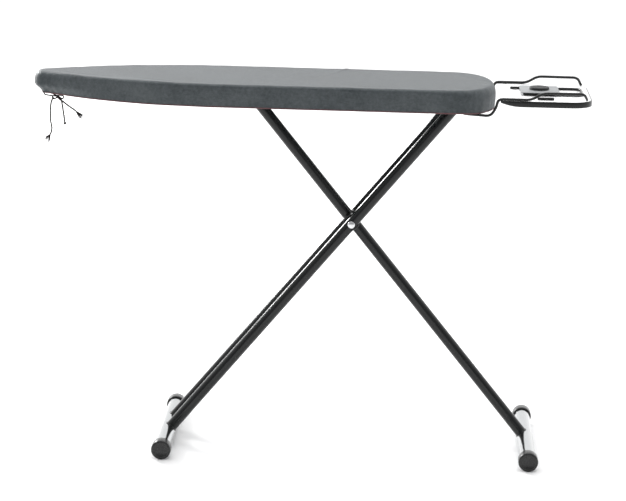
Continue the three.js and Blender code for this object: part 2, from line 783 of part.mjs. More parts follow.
function restSideWire(side) {
  const y = side * (REST_HALF - REST_WIRE);
  const tuck = side * tuckY;
  const dip = -(SKIRT + GAP + BINDING_HEIGHT + REST_UNDER_HEM + REST_WIRE);
  const [bendX, tipX] = REST_TIP.map((x) => REST_LENGTH - x);
  const [bendY, tipY] = REST_TIP_IN.map((inset) => side * (REST_HALF - inset));
  return bentWire([
    point(REST_START, tuck, tuckZ),
    point(REST_DIVE[0], tuck, tuckZ),
    point(REST_DIVE[1], tuck, dip),
    point(REST_RISE[0], y, dip),
    point(REST_RISE[1], y, dip + REST_KNEE),
    point(REST_RISE[2], y, REST_LOW),
    point(REST_RAMP[0], y, REST_LOW),
    point(REST_RAMP[1], y, REST_HIGH),
    point(bendX, bendY, REST_HIGH),
    point(tipX, tipY, REST_LOW),
  ], REST_WIRE, REST_BEND);
}

// Saddle clamp over one side wire, screwed up into the panel.
function makeClamp(name, side, parent) {
  const tuck = side * tuckY;
  const [from, to] = CLAMP_SPAN;
  const bottom = clampTop - CLAMP_HEIGHT;
  const body = box(
    point(from, tuck - CLAMP_HALF, bottom), point(to, tuck + CLAMP_HALF, clampTop),
  );
  const seat = REST_WIRE + GAP;
  const past = 5;
  const groove = rod(seat, point(from - past, tuck, tuckZ), point(to + past, tuck, tuckZ));
  const open = box(
    point(from - past, tuck - seat, tuckZ), point(to + past, tuck + seat, clampTop + past),
  );
  const screw = point((from + to) / 2, tuck + side * SCREW_OFFSET, bottom);
  const up = (height) => screw.clone().setZ(bottom + height);
  const bore = rod(SCREW_R + GAP, up(-past), up(CLAMP_HEIGHT + past), 12);
  add(`rest_clamp_${name}`, cut(body, groove, open, bore), greySteel, parent);
  const shank = rod(SCREW_R, up(-GAP - SCREW_HEAD / 2), up(CLAMP_HEIGHT), 12);
  const head = rod(SCREW_HEAD_R, up(-GAP - SCREW_HEAD), up(-GAP), 12);
  add(`rest_screw_${name}`, join(shank, head), brightSteel, parent);
}

function makeRest() {
  const rest = new THREE.Group();
  rest.position.set(endX, 0, topZ);
  rest.rotation.y = -restTilt;
  model.add(rest);

  const trayTop = REST_LOW - REST_WIRE - GAP;
  const tray = prism(restPlan(BAND_WALL + GAP), TRAY_THICK);
  add('rest_tray', tray.translate(0, 0, trayTop - TRAY_THICK), brightSteel, rest);

  const band = prism([...restPlan(0), ...reversed(restPlan(BAND_WALL))], BAND_HEIGHT);
  add('rest_band', band.translate(0, 0, trayTop - BAND_HEIGHT), blackGloss, rest);

  for (const [name, side] of SIDES) {
    add(`rest_wire_${name}`, restSideWire(side), blackGloss, rest);
    makeClamp(name, side, rest);
  }

  const [loopFrom, loopTo] = LOOP_SPAN;
  const loop = [
    point(loopFrom, LOOP_HALF, REST_LOW),
    point(loopTo, LOOP_HALF, REST_LOW),
    point(loopTo, -LOOP_HALF, REST_LOW),
    point(loopFrom + LOOP_SHORT, -LOOP_HALF, REST_LOW),
  ];
  add('rest_inner_loop', bentWire(loop, REST_WIRE, LOOP_CORNER), blackGloss, rest);

  const plateZ = REST_LOW + REST_WIRE + GAP;
  const [plateFrom, plateTo] = PLATE_SPAN;
  const plateLow = point(plateFrom, -PLATE_HALF, plateZ);
  const plate = box(plateLow, point(plateTo, PLATE_HALF, plateZ + PLATE_THICK));
  add('rest_plate', plate, greySteel, rest);
  const side = PUCK_HEIGHT - PUCK_CHAMFER;
  const profile = [
    [0, 0], [PUCK_R, 0], [PUCK_R, side], [PUCK_R - PUCK_CHAMFER, PUCK_HEIGHT], [0, PUCK_HEIGHT],
  ];
  const puck = new THREE.LatheGeometry(profile.map(([r, z]) => new THREE.Vector2(r, z)), 32);
  const puckX = (plateFrom + plateTo) / 2;
  puck.rotateX(Math.PI / 2).translate(puckX, 0, plateZ + PLATE_THICK + GAP);
  add('rest_puck', puck, rubber, rest);

  const [hookFrom, hookTo] = HOOK_SPAN.map((x) => point(x, HOOK_Y, REST_LOW));
  add('rest_stop', rod(REST_WIRE, hookFrom, hookTo, 10), blackGloss, rest);
}

// ---------------------------------------------------------------- tie cords at the nose

// Places are from the nose tip, across the board, and down from the ironing surface.
const TIES = {
  tie_long: [
    [47, -6, -67], [43, -8, -72], [40.5, -9, -80], [39, -9, -92], [38.5, -9, -108],
    [39, -9, -123], [41, -9, -134], [42, -8, -143], [40, -7, -155], [36, -6, -163],
    [29, -6, -170], [23, -6, -176],
  ],
  tie_mid: [
    [62, 6, -67], [66, 9, -72], [69, 10, -79], [71, 10, -88], [73.5, 10, -101],
    [75.5, 10, -115], [77, 10, -126], [78, 10, -133],
  ],
  tie_short: [
    [56, -4, -67.5], [60, -3, -73], [67, -3, -80], [77, -4, -87], [87, -4, -92],
    [97, -5, -97], [105, -5, -104], [112, -5, -113], [116, -5, -120],
  ],
};

function makeTies() {
  const knot = new THREE.SphereGeometry(1, 12, 8).scale(...KNOT_HALF);
  add('tie_knot', knot.translate(noseX + KNOT_X, 0, topZ - KNOT_DROP), cordThread);
  for (const [name, route] of Object.entries(TIES)) {
    const points = route.map(([x, y, z]) => point(noseX + x, y, topZ + z));
    const curve = new THREE.CatmullRomCurve3(points, false, 'centripetal');
    add(name, sweep(curve.getPoints(points.length * 2), TIE_D / 2, TIE_SIDES), cordThread);
  }
}

makeTop();
makePanel();
makeRails();
makePivot();
makeLegA();
makeLegB();
makeLever();
makeRest();
makeTies();

const bounds = new THREE.Box3().setFromObject(model);
model.position.x = -(bounds.min.x + bounds.max.x) / 2;
const group = new THREE.Group();
group.add(model);

export default group;
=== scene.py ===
"""Folding ironing board: fitted cover with a drawstring, scissor legs on T feet, wire iron rest."""
import math
import random

import bmesh
import bpy
from mathutils import Matrix, Vector, noise


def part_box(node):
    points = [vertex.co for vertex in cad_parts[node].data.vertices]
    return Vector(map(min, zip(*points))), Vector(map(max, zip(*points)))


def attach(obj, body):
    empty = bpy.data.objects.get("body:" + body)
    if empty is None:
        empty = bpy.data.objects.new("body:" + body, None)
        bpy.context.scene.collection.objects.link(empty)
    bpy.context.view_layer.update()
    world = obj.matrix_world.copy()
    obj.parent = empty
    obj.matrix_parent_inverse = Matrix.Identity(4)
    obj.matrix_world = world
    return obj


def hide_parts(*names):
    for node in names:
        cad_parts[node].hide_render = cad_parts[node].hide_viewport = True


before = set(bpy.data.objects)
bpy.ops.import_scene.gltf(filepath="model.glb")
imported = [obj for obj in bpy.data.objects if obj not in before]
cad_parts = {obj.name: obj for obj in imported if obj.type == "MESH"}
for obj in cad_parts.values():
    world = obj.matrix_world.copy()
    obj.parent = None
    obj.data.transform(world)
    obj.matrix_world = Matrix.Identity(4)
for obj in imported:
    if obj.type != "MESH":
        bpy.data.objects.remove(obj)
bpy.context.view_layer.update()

# ---- places, in metres

MM = 0.001
FULL_TURN = 2 * math.pi
RNG = random.Random(11)

cover_low, cover_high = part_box("cover")
NOSE, END = cover_low.x, cover_high.x
TOP, HEM = cover_high.z, cover_low.z
BOARD_LENGTH = END - NOSE
BOARD_HALF = cover_high.y


def middle_of(node):
    low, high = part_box(node)
    return (low + high) / 2


PIN = middle_of("cross_pin")
PIVOT = middle_of("pivot_rod")
CROSSBAR = middle_of("leg_b_crossbar")
FOOT_A = middle_of("leg_a_foot")
FOOT_B = middle_of("leg_b_foot")
LEVER_PIN = middle_of("lever_pin")

LEG_R = 14 * MM
LEG_WALL = 1.2 * MM
LEG_OFFSET = 44 * MM
LEG_SADDLE = 13.6 * MM
LEG_TOP_END = 13 * MM
FOOT_R = 20 * MM
CAP_LENGTH = 30 * MM
MERGE_REACH = 0.01 * MM
ROUND_END = 0.62
REST_TILT = math.radians(0.2)
REST_PLACE = Matrix.Translation((END, 0, TOP)) @ Matrix.Rotation(-REST_TILT, 4, "Y")

# ---- camera

CAMERA_PLACE = (0.2262, -5.675, 1.823)
CAMERA_TURN = math.radians(2.15)
CAMERA_TILT = math.radians(76.76)
CAMERA_ROLL = math.radians(1.27)
CAMERA_LENS = 136.1
SENSOR_WIDTH = 36


def make_camera():
    data = bpy.data.cameras.new("camera")
    data.lens = CAMERA_LENS
    data.sensor_width = SENSOR_WIDTH
    data.clip_end = 100
    camera = linked("camera", data)
    camera.matrix_world = (
        Matrix.Translation(CAMERA_PLACE)
        @ Matrix.Rotation(CAMERA_TURN, 4, "Z")
        @ Matrix.Rotation(CAMERA_TILT, 4, "X")
        @ Matrix.Rotation(CAMERA_ROLL, 4, "Z")
    )
    bpy.context.scene.camera = camera


# ---- modelling by hand


def linked(name, data):
    obj = bpy.data.objects.new(name, data)
    bpy.context.scene.collection.objects.link(obj)
    return obj


def take(obj):
    """Leaves obj as the only selected object, in object mode."""
    if bpy.context.object and bpy.context.object.mode != "OBJECT":
        bpy.ops.object.mode_set(mode="OBJECT")
    bpy.ops.object.select_all(action="DESELECT")
    obj.select_set(True)
    bpy.context.view_layer.objects.active = obj


def edit(obj, kind="FACE", selection="DESELECT"):
    take(obj)
    bpy.ops.object.mode_set(mode="EDIT")
    bpy.ops.mesh.select_mode(type=kind)
    bpy.ops.mesh.select_all(action=selection)


def leave(obj):
    bpy.ops.object.mode_set(mode="OBJECT")
    return obj


def choose(obj, test, kind="FACE"):
    """Selects the faces, edges or corners that pass the test of (middle, normal or direction)."""
    edit(obj, kind)
    mesh = bmesh.from_edit_mesh(obj.data)
    parts = {"FACE": mesh.faces, "EDGE": mesh.edges, "VERT": mesh.verts}[kind]
    for part in parts:
        if kind == "VERT":
            middle, normal = part.co, part.normal
        elif kind == "EDGE":
            middle = (part.verts[0].co + part.verts[1].co) / 2
            normal = (part.verts[0].co - part.verts[1].co).normalized()
        else:
            middle, normal = part.calc_center_median(), part.normal
        if test(middle, normal):
            part.select_set(True)
    mesh.select_flush_mode()
    bmesh.update_edit_mesh(obj.data)


def modify(obj, kind, **settings):
    take(obj)
    modifier = obj.modifiers.new(kind.lower(), kind)
    for key, value in settings.items():
        setattr(modifier, key, value)
    bpy.ops.object.modifier_apply(modifier=modifier.name)
    return obj


def ease(obj, width, segments=2, angle=35):
    return modify(
        obj, "BEVEL", width=width, segments=segments, limit_method="ANGLE",
        angle_limit=math.radians(angle),
    )


def tidy_normals(obj):
    edit(obj, selection="SELECT")
    bpy.ops.mesh.remove_doubles(threshold=MERGE_REACH)
    bpy.ops.mesh.normals_make_consistent(inside=False)
    return leave(obj)


def placed(obj, matrix=None):
    """Puts the object's own place, then matrix, into its mesh."""
    take(obj)
    bpy.ops.object.transform_apply(location=True, rotation=True, scale=True)
    if matrix is not None:
        obj.data.transform(matrix)
    return obj


def from_points(name, points, edges, faces=()):
    mesh = bpy.data.meshes.new(name)
    mesh.from_pydata([tuple(p) for p in points], edges, faces)
    return linked(name, mesh)


def done(obj, name, body, slot, *nodes, angle=38, finish=None):
    obj.name = name
    obj.data.name = name
    take(obj)
    bpy.ops.object.shade_smooth_by_angle(angle=math.radians(angle))
    obj.data.materials.clear()
    obj.data.materials.append(finish or FINISHES[slot])
    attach(obj, body)
    if nodes:
        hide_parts(*nodes)
    return obj


def turned(start, end, profile, steps=48):
    """Spins (distance, radius) pairs, measured from start towards end, into a closed body."""
    points = [(radius, 0, distance) for distance, radius in profile]
    edges = [(i, i + 1) for i in range(len(points) - 1)]
    if profile[0][1] > 0:
        edges.append((len(points) - 1, 0))
    obj = from_points("turned", points, edges)
    edit(obj, "VERT", "SELECT")
    bpy.ops.mesh.spin(steps=steps, angle=FULL_TURN, center=(0, 0, 0), axis=(0, 0, 1))
    leave(obj)
    tidy_normals(obj)
    start, end = Vector(start), Vector(end)
    turn = Vector((0, 0, 1)).rotation_difference(end - start).to_matrix().to_4x4()
    return placed(obj, Matrix.Translation(start) @ turn)


def block(middle, size):
    bpy.ops.mesh.primitive_cube_add(size=1, location=middle)
    bpy.context.object.scale = size
    return placed(bpy.context.object)


def bar(length, radius, chamfer=0.5 * MM):
    return [
        (0, 0), (0, radius - chamfer), (chamfer, radius),
        (length - chamfer, radius), (length, radius - chamfer), (length, 0),
    ]


def sleeve(length, radius, bore, chamfer=0.4 * MM):
    return [
        (chamfer, bore), (0, bore + chamfer), (0, radius - chamfer), (chamfer, radius),
        (length - chamfer, radius), (length, radius - chamfer), (length, bore + chamfer),
        (length - chamfer, bore),
    ]


def eased_path(corners, reach, steps=7):
    """The corners of a wire, each rounded over the given reach."""
    corners = [Vector(c) for c in corners]
    path = [corners[0]]
    for before, corner, after in zip(corners, corners[1:], corners[2:]):
        into, out = before - corner, after - corner
        enter = corner + into.normalized() * min(reach, into.length * 0.45)
        depart = corner + out.normalized() * min(reach, out.length * 0.45)
        for i in range(steps + 1):
            t = i / steps
            path.append((1 - t) ** 2 * enter + 2 * t * (1 - t) * corner + t * t * depart)
    path.append(corners[-1])
    return path


def line_in(curve, places, closed):
    spline = curve.splines.new("POLY")
    spline.points.add(len(places) - 1)
    spline.use_cyclic_u = closed
    for point, place in zip(spline.points, places):
        point.co = (*place, 1)
    return spline.points


def meshed(curve, matrix=None):
    take(linked(curve.name, curve))
    bpy.ops.object.convert(target="MESH")
    return placed(tidy_normals(bpy.context.object), matrix)


def wire(path, radius, matrix=None, sides=4, closed=False):
    """A round wire along the path, as a mesh with rounded ends."""
    curve = bpy.data.curves.new("wire", "CURVE")
    curve.dimensions = "3D"
    curve.bevel_depth = radius
    curve.bevel_resolution = sides
    curve.use_fill_caps = not closed
    path = [Vector(p) for p in path]
    if not closed:
        first = (path[0] - path[1]).normalized()
        last = (path[-1] - path[-2]).normalized()
        path = [path[0] + first * radius * 0.5, *path, path[-1] + last * radius * 0.5]
    points = line_in(curve, path, closed)
    if not closed:
        points[0].radius = points[-1].radius = ROUND_END
    return meshed(curve, matrix)


def flat_plate(loops, low, high, edge=0.3 * MM):
    """A plate between two heights, from closed outlines of (x, y): the first is its edge."""
    curve = bpy.data.curves.new("plate", "CURVE")
    curve.dimensions = "2D"
    curve.fill_mode = "BOTH"
    curve.extrude = (high - low) / 2 - edge
    curve.bevel_depth = edge
    curve.bevel_resolution = 1
    curve.offset = -edge
    for loop in loops:
        line_in(curve, [(x, y, 0) for x, y in loop], True)
    return meshed(curve, Matrix.Translation((0, 0, (low + high) / 2)))


def refined(node, width, segments=2):
    """A copy of a drawn solid with its facets joined and its edges eased."""
    obj = linked(node + "_copy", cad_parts[node].data.copy())
    edit(obj, selection="SELECT")
    bpy.ops.mesh.remove_doubles(threshold=MERGE_REACH)
    bpy.ops.mesh.dissolve_limited(angle_limit=math.radians(0.5))
    leave(obj)
    return ease(obj, width, segments)


# ---- shader maths


def maths(operation, swapped=False):
    """A method that feeds its value, and another if there is one, to a maths node."""

    def method(self, *other):
        values = (*other, self) if swapped else (self, *other)
        return self.nodes.add("ShaderNodeMath", {"operation": operation}, dict(enumerate(values)))

    return method


class Value:
    """A shader socket that takes part in ordinary arithmetic."""

    def __init__(self, nodes, socket):
        self.nodes, self.socket = nodes, socket

    __add__, __radd__ = maths("ADD"), maths("ADD", True)
    __mul__, __rmul__ = maths("MULTIPLY"), maths("MULTIPLY", True)
    __rsub__ = maths("SUBTRACT", True)
    __abs__, sine = maths("ABSOLUTE"), maths("SINE")


class Nodes:
    """The nodes of one material or of the surroundings."""

    def __init__(self, tree):
        self.tree = tree

    def add(self, kind, settings=None, values=None, output=0):
        node = self.tree.nodes.new(kind)
        for key, value in (settings or {}).items():
            if key == "stops":
                self._stops(node.color_ramp, value)
            else:
                setattr(node, key, value)
        for key, value in (values or {}).items():
            self._feed(node.inputs[key], value)
        return Value(self, node.outputs[output])

    def _stops(self, ramp, stops):
        while len(ramp.elements) < len(stops):
            ramp.elements.new(0.5)
        for element, (position, colour) in zip(ramp.elements, stops):
            element.position, element.color = position, (*colour, 1)

    def _feed(self, socket, value):
        if isinstance(value, Value):
            self.tree.links.new(value.socket, socket)
        else:
            socket.default_value = value

    def parts(self, vector):
        """The three coordinates of a vector."""
        kind = "ShaderNodeSeparateXYZ"
        return [self.add(kind, None, {0: vector}, output) for output in (0, 1, 2)]

    def ramp(self, value, *stops):
        return self.add("ShaderNodeValToRGB", {"stops": stops}, {0: value})


class Finish(Nodes):
    """A material and the nodes that feed its principled shader."""

    def __init__(self, name, **uniform):
        self.material = bpy.data.materials.new(name)
        self.material.use_nodes = True
        super().__init__(self.material.node_tree)
        self.shader = self.tree.nodes["Principled BSDF"]
        self.place = self.object_place()
        self.feed(**uniform)

    def feed(self, **values):
        for key, value in values.items():
            label = key.replace("_", " ").title().replace("Ior", "IOR")
            self._feed(self.shader.inputs[label], value)
        return self.material

    def object_place(self, stretch=(1, 1, 1)):
        place = self.add("ShaderNodeTexCoord", output="Object")
        return self.add("ShaderNodeMapping", None, {"Vector": place, "Scale": stretch})

    def noise(self, scale, detail=2.0, roughness=0.5, place=None):
        values = {"Vector": place or self.place, "Scale": scale}
        values |= {"Detail": detail, "Roughness": roughness}
        return self.add("ShaderNodeTexNoise", None, values)

    def uv(self):
        return self.add("ShaderNodeUVMap", {"uv_map": "cloth"})

    def blend(self, share, first, second):
        node = self.tree.nodes.new("ShaderNodeMix")
        node.data_type = "RGBA"
        colours = [s for s in node.inputs if s.type == "RGBA"]
        self._feed(node.inputs[0], share)
        self._feed(colours[0], first if isinstance(first, Value) else (*first, 1))
        self._feed(colours[1], second if isinstance(second, Value) else (*second, 1))
        return Value(self, [s for s in node.outputs if s.type == "RGBA"][0])

    def bump(self, height, depth, strength=1.0):
        values = {"Height": height, "Distance": depth, "Strength": strength}
        return self.add("ShaderNodeBump", None, values)


# ---- finishes


def cover_cotton():
    """Plain-woven cotton under a thin silvery coat, slate in colour."""
    f = Finish(
        "silver_coated_cotton", sheen_weight=0.05, sheen_roughness=0.45, specular_ior_level=0.25
    )
    across, along, _ = f.parts(f.uv())
    thread = FULL_TURN / (0.9 * MM)
    weave = abs((across * thread).sine() * (along * thread).sine())
    cloudy = f.noise(7, 4, 0.6)
    slub = f.noise(1, 2, place=f.object_place((60, 900, 900)))
    mottle = f.noise(130, 4, 0.75)
    tone = cloudy * 0.35 + slub * 0.15 + weave * 0.15 + mottle * 0.35
    colour = f.ramp(
        tone, (0.34, (0.033, 0.04, 0.044)), (0.47, (0.06, 0.07, 0.075)), (0.6, (0.098, 0.11, 0.115))
    )
    height = weave * 0.5 + slub * 0.25 + mottle * 0.25
    return f.feed(
        base_color=colour, metallic=0.13 + 0.1 * mottle, roughness=0.42 + 0.16 * cloudy,
        normal=f.bump(height, 0.3 * MM, 0.5),
    )


def binding_tape():
    f = Finish("dark_red_tape", sheen_weight=0.15)
    across, along, _ = f.parts(f.uv())
    twill = abs(((across + along) * (FULL_TURN / (1.6 * MM))).sine())
    cloudy = f.noise(24, 3)
    tone = twill * 0.4 + cloudy * 0.6
    colour = f.ramp(tone, (0.25, (0.07, 0.026, 0.031)), (0.75, (0.16, 0.068, 0.074)))
    return f.feed(
        base_color=colour, roughness=0.7 + 0.15 * cloudy, normal=f.bump(twill, 0.3 * MM, 0.6)
    )


def felt_wool():
    f = Finish("pressed_felt", sheen_weight=0.4)
    fibres = f.noise(420, 4, 0.7)
    flecks = f.noise(60, 2)
    colour = f.blend(flecks, (0.52, 0.51, 0.48), (0.7, 0.69, 0.66))
    return f.feed(
        base_color=colour, roughness=0.86 + 0.1 * fibres, normal=f.bump(fibres, 0.8 * MM, 0.7)
    )


def twisted_thread():
    f = Finish("dark_brown_thread", sheen_weight=0.05, specular_ior_level=0.3)
    fibres = f.noise(1400, 3, 0.7)
    patches = f.noise(90, 2)
    colour = f.ramp(
        fibres * 0.6 + patches * 0.4,
        (0.3, (0.008, 0.006, 0.006)), (0.66, (0.022, 0.015, 0.014)), (0.9, (0.06, 0.045, 0.04)),
    )
    return f.feed(
        base_color=colour, roughness=0.75 + 0.15 * patches, normal=f.bump(fibres, 0.2 * MM, 0.6)
    )


def gloss_enamel():
    """Stoved gloss black, with a faint orange peel and a few dull rubs."""
    f = Finish("gloss_black_enamel", coat_roughness=0.13, specular_ior_level=0.16)
    peel = f.noise(260, 2)
    rubs = f.noise(14, 5, 0.65)
    worn = f.ramp(rubs, (0.5, (0, 0, 0)), (0.75, (1, 1, 1)))
    colour = f.blend(worn, (0.004, 0.0052, 0.0052), (0.011, 0.0118, 0.0118))
    return f.feed(
        base_color=colour, roughness=0.16 + 0.22 * rubs, coat_weight=0.62 - 0.35 * rubs,
        normal=f.bump(peel, 0.03 * MM, 0.2),
    )


def powder_coat():
    f = Finish("grey_powder_coat")
    grain = f.noise(900, 2)
    cloudy = f.noise(18, 4, 0.6)
    colour = f.blend(cloudy, (0.2, 0.21, 0.217), (0.27, 0.28, 0.287))
    return f.feed(
        base_color=colour, metallic=0.25 + 0.1 * cloudy, roughness=0.4 + 0.15 * grain,
        normal=f.bump(grain, 0.1 * MM, 0.5),
    )


def polished_steel(name, light, dark, polish, stretch):
    """Bright metal with drawn lines along one direction and faint smudges."""
    f = Finish(name)
    lines = f.noise(1, 3, 0.7, f.object_place(stretch))
    smudge = f.noise(22, 4, 0.6)
    colour = f.blend(smudge * 0.5 + lines * 0.5, dark, light)
    return f.feed(
        base_color=colour, metallic=0.97 + 0.02 * smudge,
        roughness=polish + 0.1 * lines + 0.08 * smudge, normal=f.bump(lines, 0.03 * MM, 0.3),
    )


def moulded_plastic():
    """Black polypropylene, bright along a low view and dull face on."""
    f = Finish("black_moulded_plastic", specular_ior_level=0.42)
    grain = f.add("ShaderNodeTexVoronoi", None, {"Vector": f.place, "Scale": 900.0})
    scuffs = f.noise(40, 5, 0.65)
    colour = f.ramp(scuffs, (0.35, (0.009, 0.0095, 0.0095)), (0.75, (0.02, 0.021, 0.021)))
    return f.feed(
        base_color=colour, roughness=0.2 + 0.14 * scuffs, normal=f.bump(grain, 0.05 * MM, 0.35)
    )


def silicone_rubber():
    f = Finish("black_silicone", specular_ior_level=0.35)
    dust = f.noise(500, 3, 0.7)
    cloudy = f.noise(30, 3)
    tone = dust * 0.7 + cloudy * 0.3
    colour = f.ramp(tone, (0.4, (0.014, 0.015, 0.016)), (0.8, (0.045, 0.045, 0.046)))
    return f.feed(
        base_color=colour, roughness=0.5 + 0.2 * cloudy, normal=f.bump(dust, 0.1 * MM, 0.5)
    )


TINPLATE = polished_steel(
    "satin_tinplate", (0.95, 0.95, 0.95), (0.84, 0.84, 0.85), 0.6, (40, 700, 40)
)
FINISHES = {
    "cover_cloth": cover_cotton(),
    "binding": binding_tape(),
    "felt": felt_wool(),
    "cord": twisted_thread(),
    "black_enamel": gloss_enamel(),
    "grey_steel": powder_coat(),
    "bright_steel": polished_steel(
        "bright_zinc", (0.82, 0.83, 0.84), (0.6, 0.61, 0.62), 0.16, (900, 60, 60)
    ),
    "foot_chrome": polished_steel(
        "chrome_plate", (0.43, 0.44, 0.445), (0.3, 0.31, 0.315), 0.06, (700, 30, 700)
    ),
    "black_plastic": moulded_plastic(),
    "rubber": silicone_rubber(),
}

# ---- plan of the board

NOSE_R = 42 * MM
NOSE_FLANK = math.radians(26)
TAPER_LENGTH = 480 * MM
TAPER_START, TAPER_END = 0.31, 0.58
END_LENGTH = 120 * MM
END_ALONG, END_ACROSS = 2.6, 2.2
COVER_EDGE = 9 * MM


def half_plan():
    """Half of the edge, from the nose tip to the middle of the square end, as (x, y)."""
    arc_end = math.pi / 2 + NOSE_FLANK
    plan = []
    for i in range(41):
        angle = math.pi - (math.pi - arc_end) * i / 40
        plan.append(Vector((NOSE_R + NOSE_R * math.cos(angle), NOSE_R * math.sin(angle))))
    start, end = plan[-1], Vector((TAPER_LENGTH, BOARD_HALF))
    pull = start + Vector((math.cos(NOSE_FLANK), math.sin(NOSE_FLANK))) * TAPER_LENGTH * TAPER_START
    settle = Vector((TAPER_LENGTH * TAPER_END, BOARD_HALF))
    for i in range(1, 81):
        t = i / 80
        u = 1 - t
        plan.append(u**3 * start + 3 * u * u * t * pull + 3 * u * t * t * settle + t**3 * end)
    for i in range(81):
        turn = math.pi / 2 * i / 80
        x = BOARD_LENGTH - END_LENGTH + END_LENGTH * math.sin(turn) ** (2 / END_ALONG)
        plan.append(Vector((x, BOARD_HALF * math.cos(turn) ** (2 / END_ACROSS))))
    return plan


def spaced(line, count):
    """Places at equal steps along the line, without its last point, and the line's length."""
    length = [0.0]
    for p, q in zip(line, line[1:]):
        length.append(length[-1] + (q - p).length)
    total, places, k = length[-1], [], 0
    for i in range(count):
        want = total * i / count
        while length[k + 1] < want:
            k += 1
        share = (want - length[k]) / max(length[k + 1] - length[k], 1e-12)
        places.append(line[k].lerp(line[k + 1], share))
    return places, total


def whole_plan(count):
    """Evenly spaced (place, outward, distance from the nose tip) round the board."""
    half = half_plan()
    loop = [Vector((p.x, -p.y)) for p in half] + [p.copy() for p in reversed(half[1:-1])]
    loop.append(loop[0])
    places, total = spaced(loop, count)
    ring = []
    for i, place in enumerate(places):
        edge = (places[(i + 1) % count] - places[i - 1]).normalized()
        run = total * i / count
        centre = Vector((place.x + NOSE, place.y))
        ring.append((centre, Vector((edge.y, -edge.x)), min(run, total - run)))
    return ring


def plan_loop(inset, count=260):
    return [tuple(place - out * inset) for place, out, _ in whole_plan(count)]


def smooth(low, high, value):
    t = max(0.0, min(1.0, (value - low) / (high - low)))
    return t * t * (3 - 2 * t)


# ---- fitted cover

COVER_COLUMNS = 640
COVER_LAYER = 1.3 * MM
CLOTH_DEPTH = TOP - HEM + 2.4 * MM
HEM_LIFT = 1.5 * MM
HEM_PULL = 17 * MM
HEM_LENGTH = 2.75


def rumple(x, y, z):
    """Smooth noise, between -1 and 1."""
    return noise.noise(Vector((x, y, z)))


def gather(run):
    """How strongly the drawstring gathers the hem, 1 at the nose tip."""
    return 1 - smooth(0.03, 0.2, run)


def edge_roll(place, run):
    """(inset, depth) over which the top rolls into the skirt, fuller at the nose and the end."""
    nose = 1 - smooth(0.03, 0.24, run)
    end = smooth(END - 0.17, END - 0.03, place.x)
    return COVER_EDGE + (5 * nose + 6 * end) * MM, COVER_EDGE + (16 * nose + 15 * end) * MM


def skirt_place(place, out, run, share):
    """A point of the skirt, at that share of its depth below the ironing surface."""
    strength = gather(run)
    end = smooth(END - 0.09, END - 0.03, place.x)
    depth = CLOTH_DEPTH * share - HEM_LIFT * (1 - smooth(0.19, 0.34, run)) * share**2
    depth += 2 * MM * end * share**2
    pull = HEM_PULL * strength**0.8 * smooth(0.58, 1.05, share) ** 1.1
    pull += 1.2 * MM * smooth(0.45, 1, share)
    pleat = math.sin(run / (4.3 * MM) + 1.6 * math.sin(run * 90))
    pull -= (1.3 * strength + 0.6 * end) * MM * pleat * smooth(0.15, 0.8, share)
    wave = rumple(place.x * 16, place.y * 16, share * 0.9)
    fold = rumple(place.x * 42, place.y * 42, share * 1.7 + 5)
    pull += (1.7 * MM * wave + 0.8 * MM * fold) * smooth(0.12, 1, share)
    p = place - out * pull
    return Vector((p.x, p.y, TOP - depth))


def top_height(x, y, share):
    """Soft wrinkles of the ironing surface; share is 0 at the edge and 1 on the middle line."""
    edge = 1 - smooth(0.0, 0.62, share)
    near_nose = 1 - smooth(NOSE + 0.16, NOSE + 0.5, x)
    along, across = x - 0.4 * abs(y), y + 0.4 * x
    drag = rumple(along * 8, across * 52, 3.1)
    pucker = rumple(x * 26 + y * 20, y * 12, 8.4)
    broad = rumple(x * 4, y * 7, 1.3)
    near_side = 1 - smooth(-0.03, 0.03, y)
    lift = 0.25 * MM * broad + (0.3 + 1.7 * near_nose * near_side) * MM * drag * edge
    lift += 0.6 * MM * pucker * edge
    ridge = (x - 0.062 - (y - 0.1) * 0.45) / (6 * MM)
    lift += 1.2 * MM * math.exp(-ridge * ridge) * smooth(0.03, 0.12, y)
    return lift - 0.4 * MM


def cover_rows():
    """(kind, share or angle) from the hem to the middle line."""
    skirt = [("skirt", i / 15) for i in range(15)]
    edge = [("edge", a) for a in (0, 12, 24, 36, 48, 60, 72, 81, 90)]
    top = [("top", (i / 26) ** 1.15) for i in range(1, 27)]
    return skirt + edge + top


def cover_point(kind, value, place, out, run):
    spine = Vector((max(NOSE + 46 * MM, min(END - 120 * MM, place.x)), 0))
    inset, depth = edge_roll(place, run)
    if kind == "skirt":
        low = depth / CLOTH_DEPTH
        return skirt_place(place, out, run, 1 + (low - 1) * value)
    if kind == "edge":
        turn = math.radians(value)
        foot = skirt_place(place, out, run, depth / CLOTH_DEPTH)
        q = Vector((foot.x, foot.y)) - out * inset * (1 - math.cos(turn))
        lift = top_height(q.x, q.y, 0) * smooth(0, 90, value)
        return Vector((q.x, q.y, TOP - depth * (1 - math.sin(turn)) + lift))
    q = (place - out * inset).lerp(spine, value)
    return Vector((q.x, q.y, TOP + top_height(q.x, q.y, value)))


def make_cover():
    ring = whole_plan(COVER_COLUMNS)
    points = [cover_point(*row, *spot) for row in cover_rows() for spot in ring]
    rows, count = len(cover_rows()), len(ring)
    obj = from_points("cover_cloth", points, [], ring_faces(rows, count))
    lay_uv(obj, count)
    tidy_normals(obj)
    modify(obj, "SOLIDIFY", thickness=COVER_LAYER, offset=-1)
    return done(obj, "fitted_cover", "board", "cover_cloth", "cover", angle=60)


def ring_faces(rows, count):
    faces = []
    for r in range(rows - 1):
        for i in range(count):
            a, b = r * count + i, r * count + (i + 1) % count
            faces.append((a, b, b + count, a + count))
    return faces


